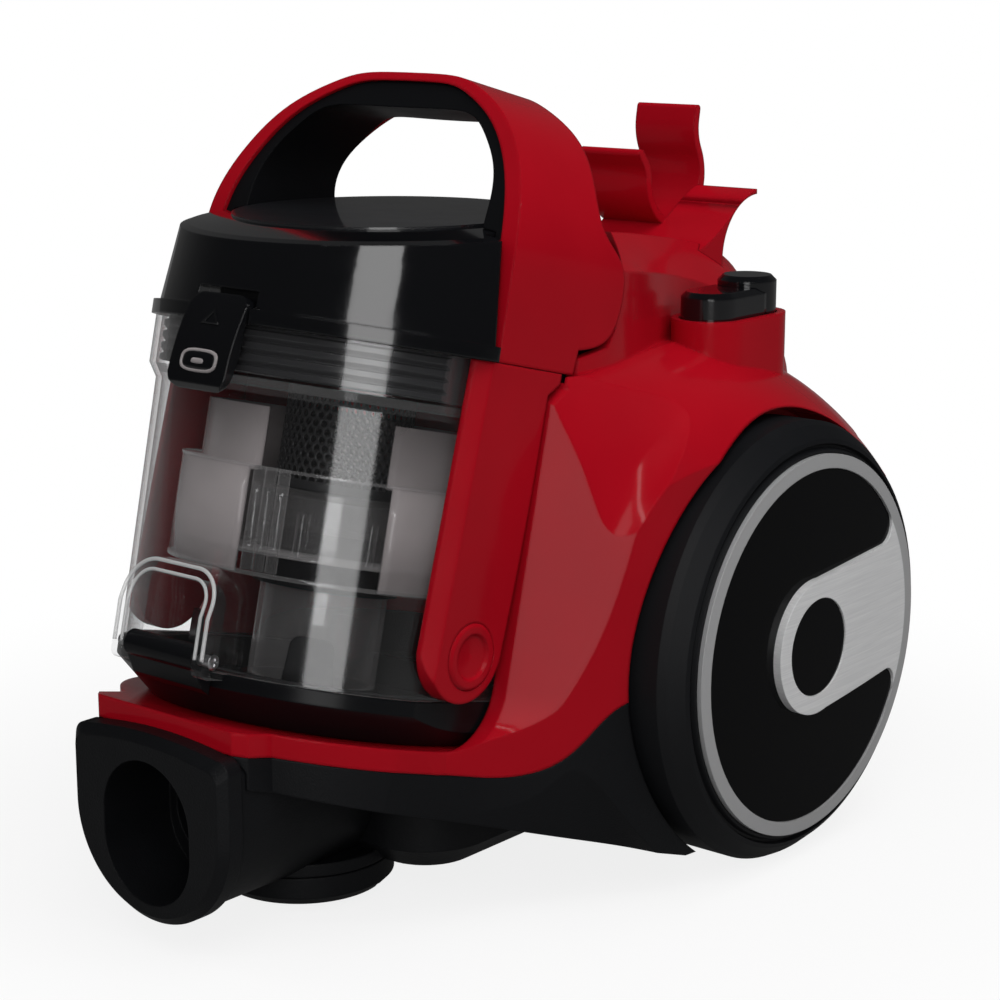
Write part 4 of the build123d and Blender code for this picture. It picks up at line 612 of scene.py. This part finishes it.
def base_screws(centres, z):
    """Screw heads in the flat underside, each the dome with its cross, facing down."""
    x, y, out = screw_head(radius=0.0034, sink=0.0007, back=0.0004)
    for count, (cx, cy) in enumerate(centres):
        points = np.stack([cx + x, cy + y, z - out], axis=-1)
        piece(f"base_screw_{count}", points, HEAD_FACES, "steel", "chassis")


def hinge_screw(x, s, h):
    """Screw head on the outer end of the flap's hinge pin, the same dome facing sideways."""
    across, up, out = screw_head(radius=0.0026, sink=0.0006, back=0.0006)
    points = cup_point(x + out, s + across, h + up)
    piece("hinge_screw", points, HEAD_FACES, "steel", "container")


net = screen_net(
    radius=0.0229, low=0.0645, high=0.0955, around=44, rows=11, hole=0.00118, thickness=0.0009,
)
rim_low = ring_band("screen_rim_low", 0.0230, 0.0216, 0.0620, 0.0655, "screen")
rim_high = ring_band("screen_rim_high", 0.0230, 0.0216, 0.0945, 0.0980, "screen")
for screen_piece in (net, rim_low, rim_high):
    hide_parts("cyclone_screen")
skirt = skirt_shell(
    lower=0.0565, upper=0.0500, wall=0.0016, low=0.033, step=0.069, high=0.089, window=35.0, opening=26.0,
)
skirt_floor = ring_band("skirt_floor", 0.0560, 0.0312, 0.0398, 0.0412, "hazy")
for skirt_piece in (skirt, skirt_floor):
    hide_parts("cyclone_skirt")
skirt_posts(angles=[11.0, 16.0, 21.5], radius=0.0520, width=0.0021, low=0.034, high=0.069)
ring_band("skirt_rim_low", 0.0570, 0.0560, 0.0326, 0.0340, "hazy")
ring_band("skirt_rim_high", 0.0569, 0.0561, 0.0682, 0.0693, "hazy")
# Pale clouded tubes along the bail's edges: a painted highlight.
painted_bail_highlight("bail_painted_highlight_outer", half=0.0212, top=0.0332, corner=0.0115, radius=0.0007)
painted_bail_highlight("bail_painted_highlight_inner", half=0.0178, top=0.0298, corner=0.0080, radius=0.0006)
latch_mark(middle=0.1150, width=0.0085, height=0.0052, stroke=0.32, proud=0.00045, sunk=0.0003)
latch_window(
    middle=0.1008, half_width=0.0080, half_height=0.0034, frame_radius=0.0006,
    bar_middle=0.1006, bar_width=0.0034, bar_height=0.0011,
)
hinge_screw(x=0.0223, s=-0.0800, h=0.0040)
base_screws([(-0.060, 0.000), (0.060, 0.000), (-0.062, 0.105), (0.062, 0.105), (0.0, 0.140)], z=0.014)


def studio_floor():
    """A pale floor under the object that keeps its shadow and is white to the camera and through glass. It is
    darker in gloss and as a source of bounced light. Away from the object the white takes over."""
    made, wire = material("studio floor")
    rays = wire.add("LightPath").outputs()
    gloss = rays["Is Glossy Ray"]
    seen = rays["Is Camera Ray"].most(rays["Is Transmission Ray"]).most(gloss * FLOOR_IN_GLOSS)
    x, y, _ = axes(wire, place(wire))
    away = (x * x + y * y).root().ramp(*SHADOW_FADE) * (1.0 - FLOOR_WHITE) + FLOOR_WHITE
    speck = noise(wire, 6.0, 2.0).mix([0.80, 0.80, 0.80, 1], [0.84, 0.84, 0.84, 1])
    matt = wire.add("BsdfDiffuse", None, {"Color": speck})
    white = wire.add("Emission", None, {"Color": WHITE, "Strength": 1.0})
    black = wire.add("BsdfDiffuse", None, {"Color": BLACK})
    pale = wire.add("MixShader", None, {0: away, 1: matt, 2: white})
    darkened = gloss.most(rays["Is Diffuse Ray"]) * FLOOR_DARKENED
    dim = wire.add("MixShader", None, {0: darkened, 1: matt, 2: black})
    finish_with(wire, wire.add("MixShader", None, {0: seen, 1: dim, 2: pale}))
    mesh = bpy.data.meshes.new("studio floor")
    near, far = -FLOOR_HALF, FLOOR_HALF
    corners = [(near, near, 0.0), (far, near, 0.0), (far, far, 0.0), (near, far, 0.0)]
    mesh.from_pydata(corners, [], [(0, 1, 2, 3)])
    mesh.materials.append(made)
    floor = bpy.data.objects.new("studio floor", mesh)
    bpy.context.scene.collection.objects.link(floor)


def softbox(name, azimuth, elevation, width, height, power, mirrored):
    """An area lamp turned towards the middle of the object, shown in gloss where it is mirrored."""
    lamp = bpy.data.lights.new(name, "AREA")
    lamp.shape = "RECTANGLE"
    lamp.size = width
    lamp.size_y = height
    lamp.energy = power
    lit = bpy.data.objects.new(name, lamp)
    turn = math.radians(azimuth)
    rise = math.radians(elevation)
    reach = LAMP_DISTANCE * math.cos(rise)
    up = LAMP_AIM_Z + LAMP_DISTANCE * math.sin(rise)
    lit.location = (reach * math.sin(turn), -reach * math.cos(turn), up)
    lit.rotation_euler = (math.pi / 2 - rise, 0.0, turn)
    lit.visible_glossy = mirrored
    bpy.context.scene.collection.objects.link(lit)


def studio_world():
    """White for the camera and through glass, almost dark in gloss apart from the side that the photograph's
    camera faces, and a soft even light for the rest."""
    world = bpy.data.worlds.new("studio")
    world.use_nodes = True
    world.node_tree.nodes.clear()
    wire = Wire(world.node_tree)
    rays = wire.add("LightPath").outputs()
    x, y, _ = axes(wire, wire.add("TexCoord", None, None, "Generated"))
    behind = (y * 0.77 - x * 0.64).ramp(0.1, 0.9)
    gloss = rays["Is Glossy Ray"]
    white = rays["Is Camera Ray"].most(rays["Is Transmission Ray"])
    level = white.most(gloss * (behind * SKY_BEHIND + SKY_IN_GLOSS))
    level = level + (1.0 - white.most(gloss)) * SKY_LIGHT
    sky = wire.add("Background", None, {"Color": WHITE, "Strength": level})
    wire.add("OutputWorld", None, {"Surface": sky})
    bpy.context.scene.world = world


studio_floor()
studio_world()
softbox("tall front box", 38.0, 22.0, width=0.55, height=1.6, power=9.0, mirrored=True)
softbox("edge bar", 40.0, 56.0, width=1.5, height=0.07, power=3.4, mirrored=True)
softbox("right rear box", 112.0, 35.0, width=0.5, height=1.2, power=4.5, mirrored=False)
softbox("left box", -60.0, 30.0, width=0.5, height=1.2, power=3.0, mirrored=False)
softbox("overhead box", 120.0, 72.0, width=1.2, height=0.8, power=9.0, mirrored=False)

lens = bpy.data.cameras.new("camera")
lens.lens = FOCAL_MM
lens.sensor_width = SENSOR_MM
lens.clip_start = 0.01
camera = bpy.data.objects.new("camera", lens)
camera.location = CAMERA_PLACE
camera.rotation_euler = (math.radians(90.0 - CAMERA_DIP), 0.0, math.radians(CAMERA_TURN))
bpy.context.scene.collection.objects.link(camera)
bpy.context.scene.camera = camera
bpy.context.scene.view_settings.view_transform = "Standard"
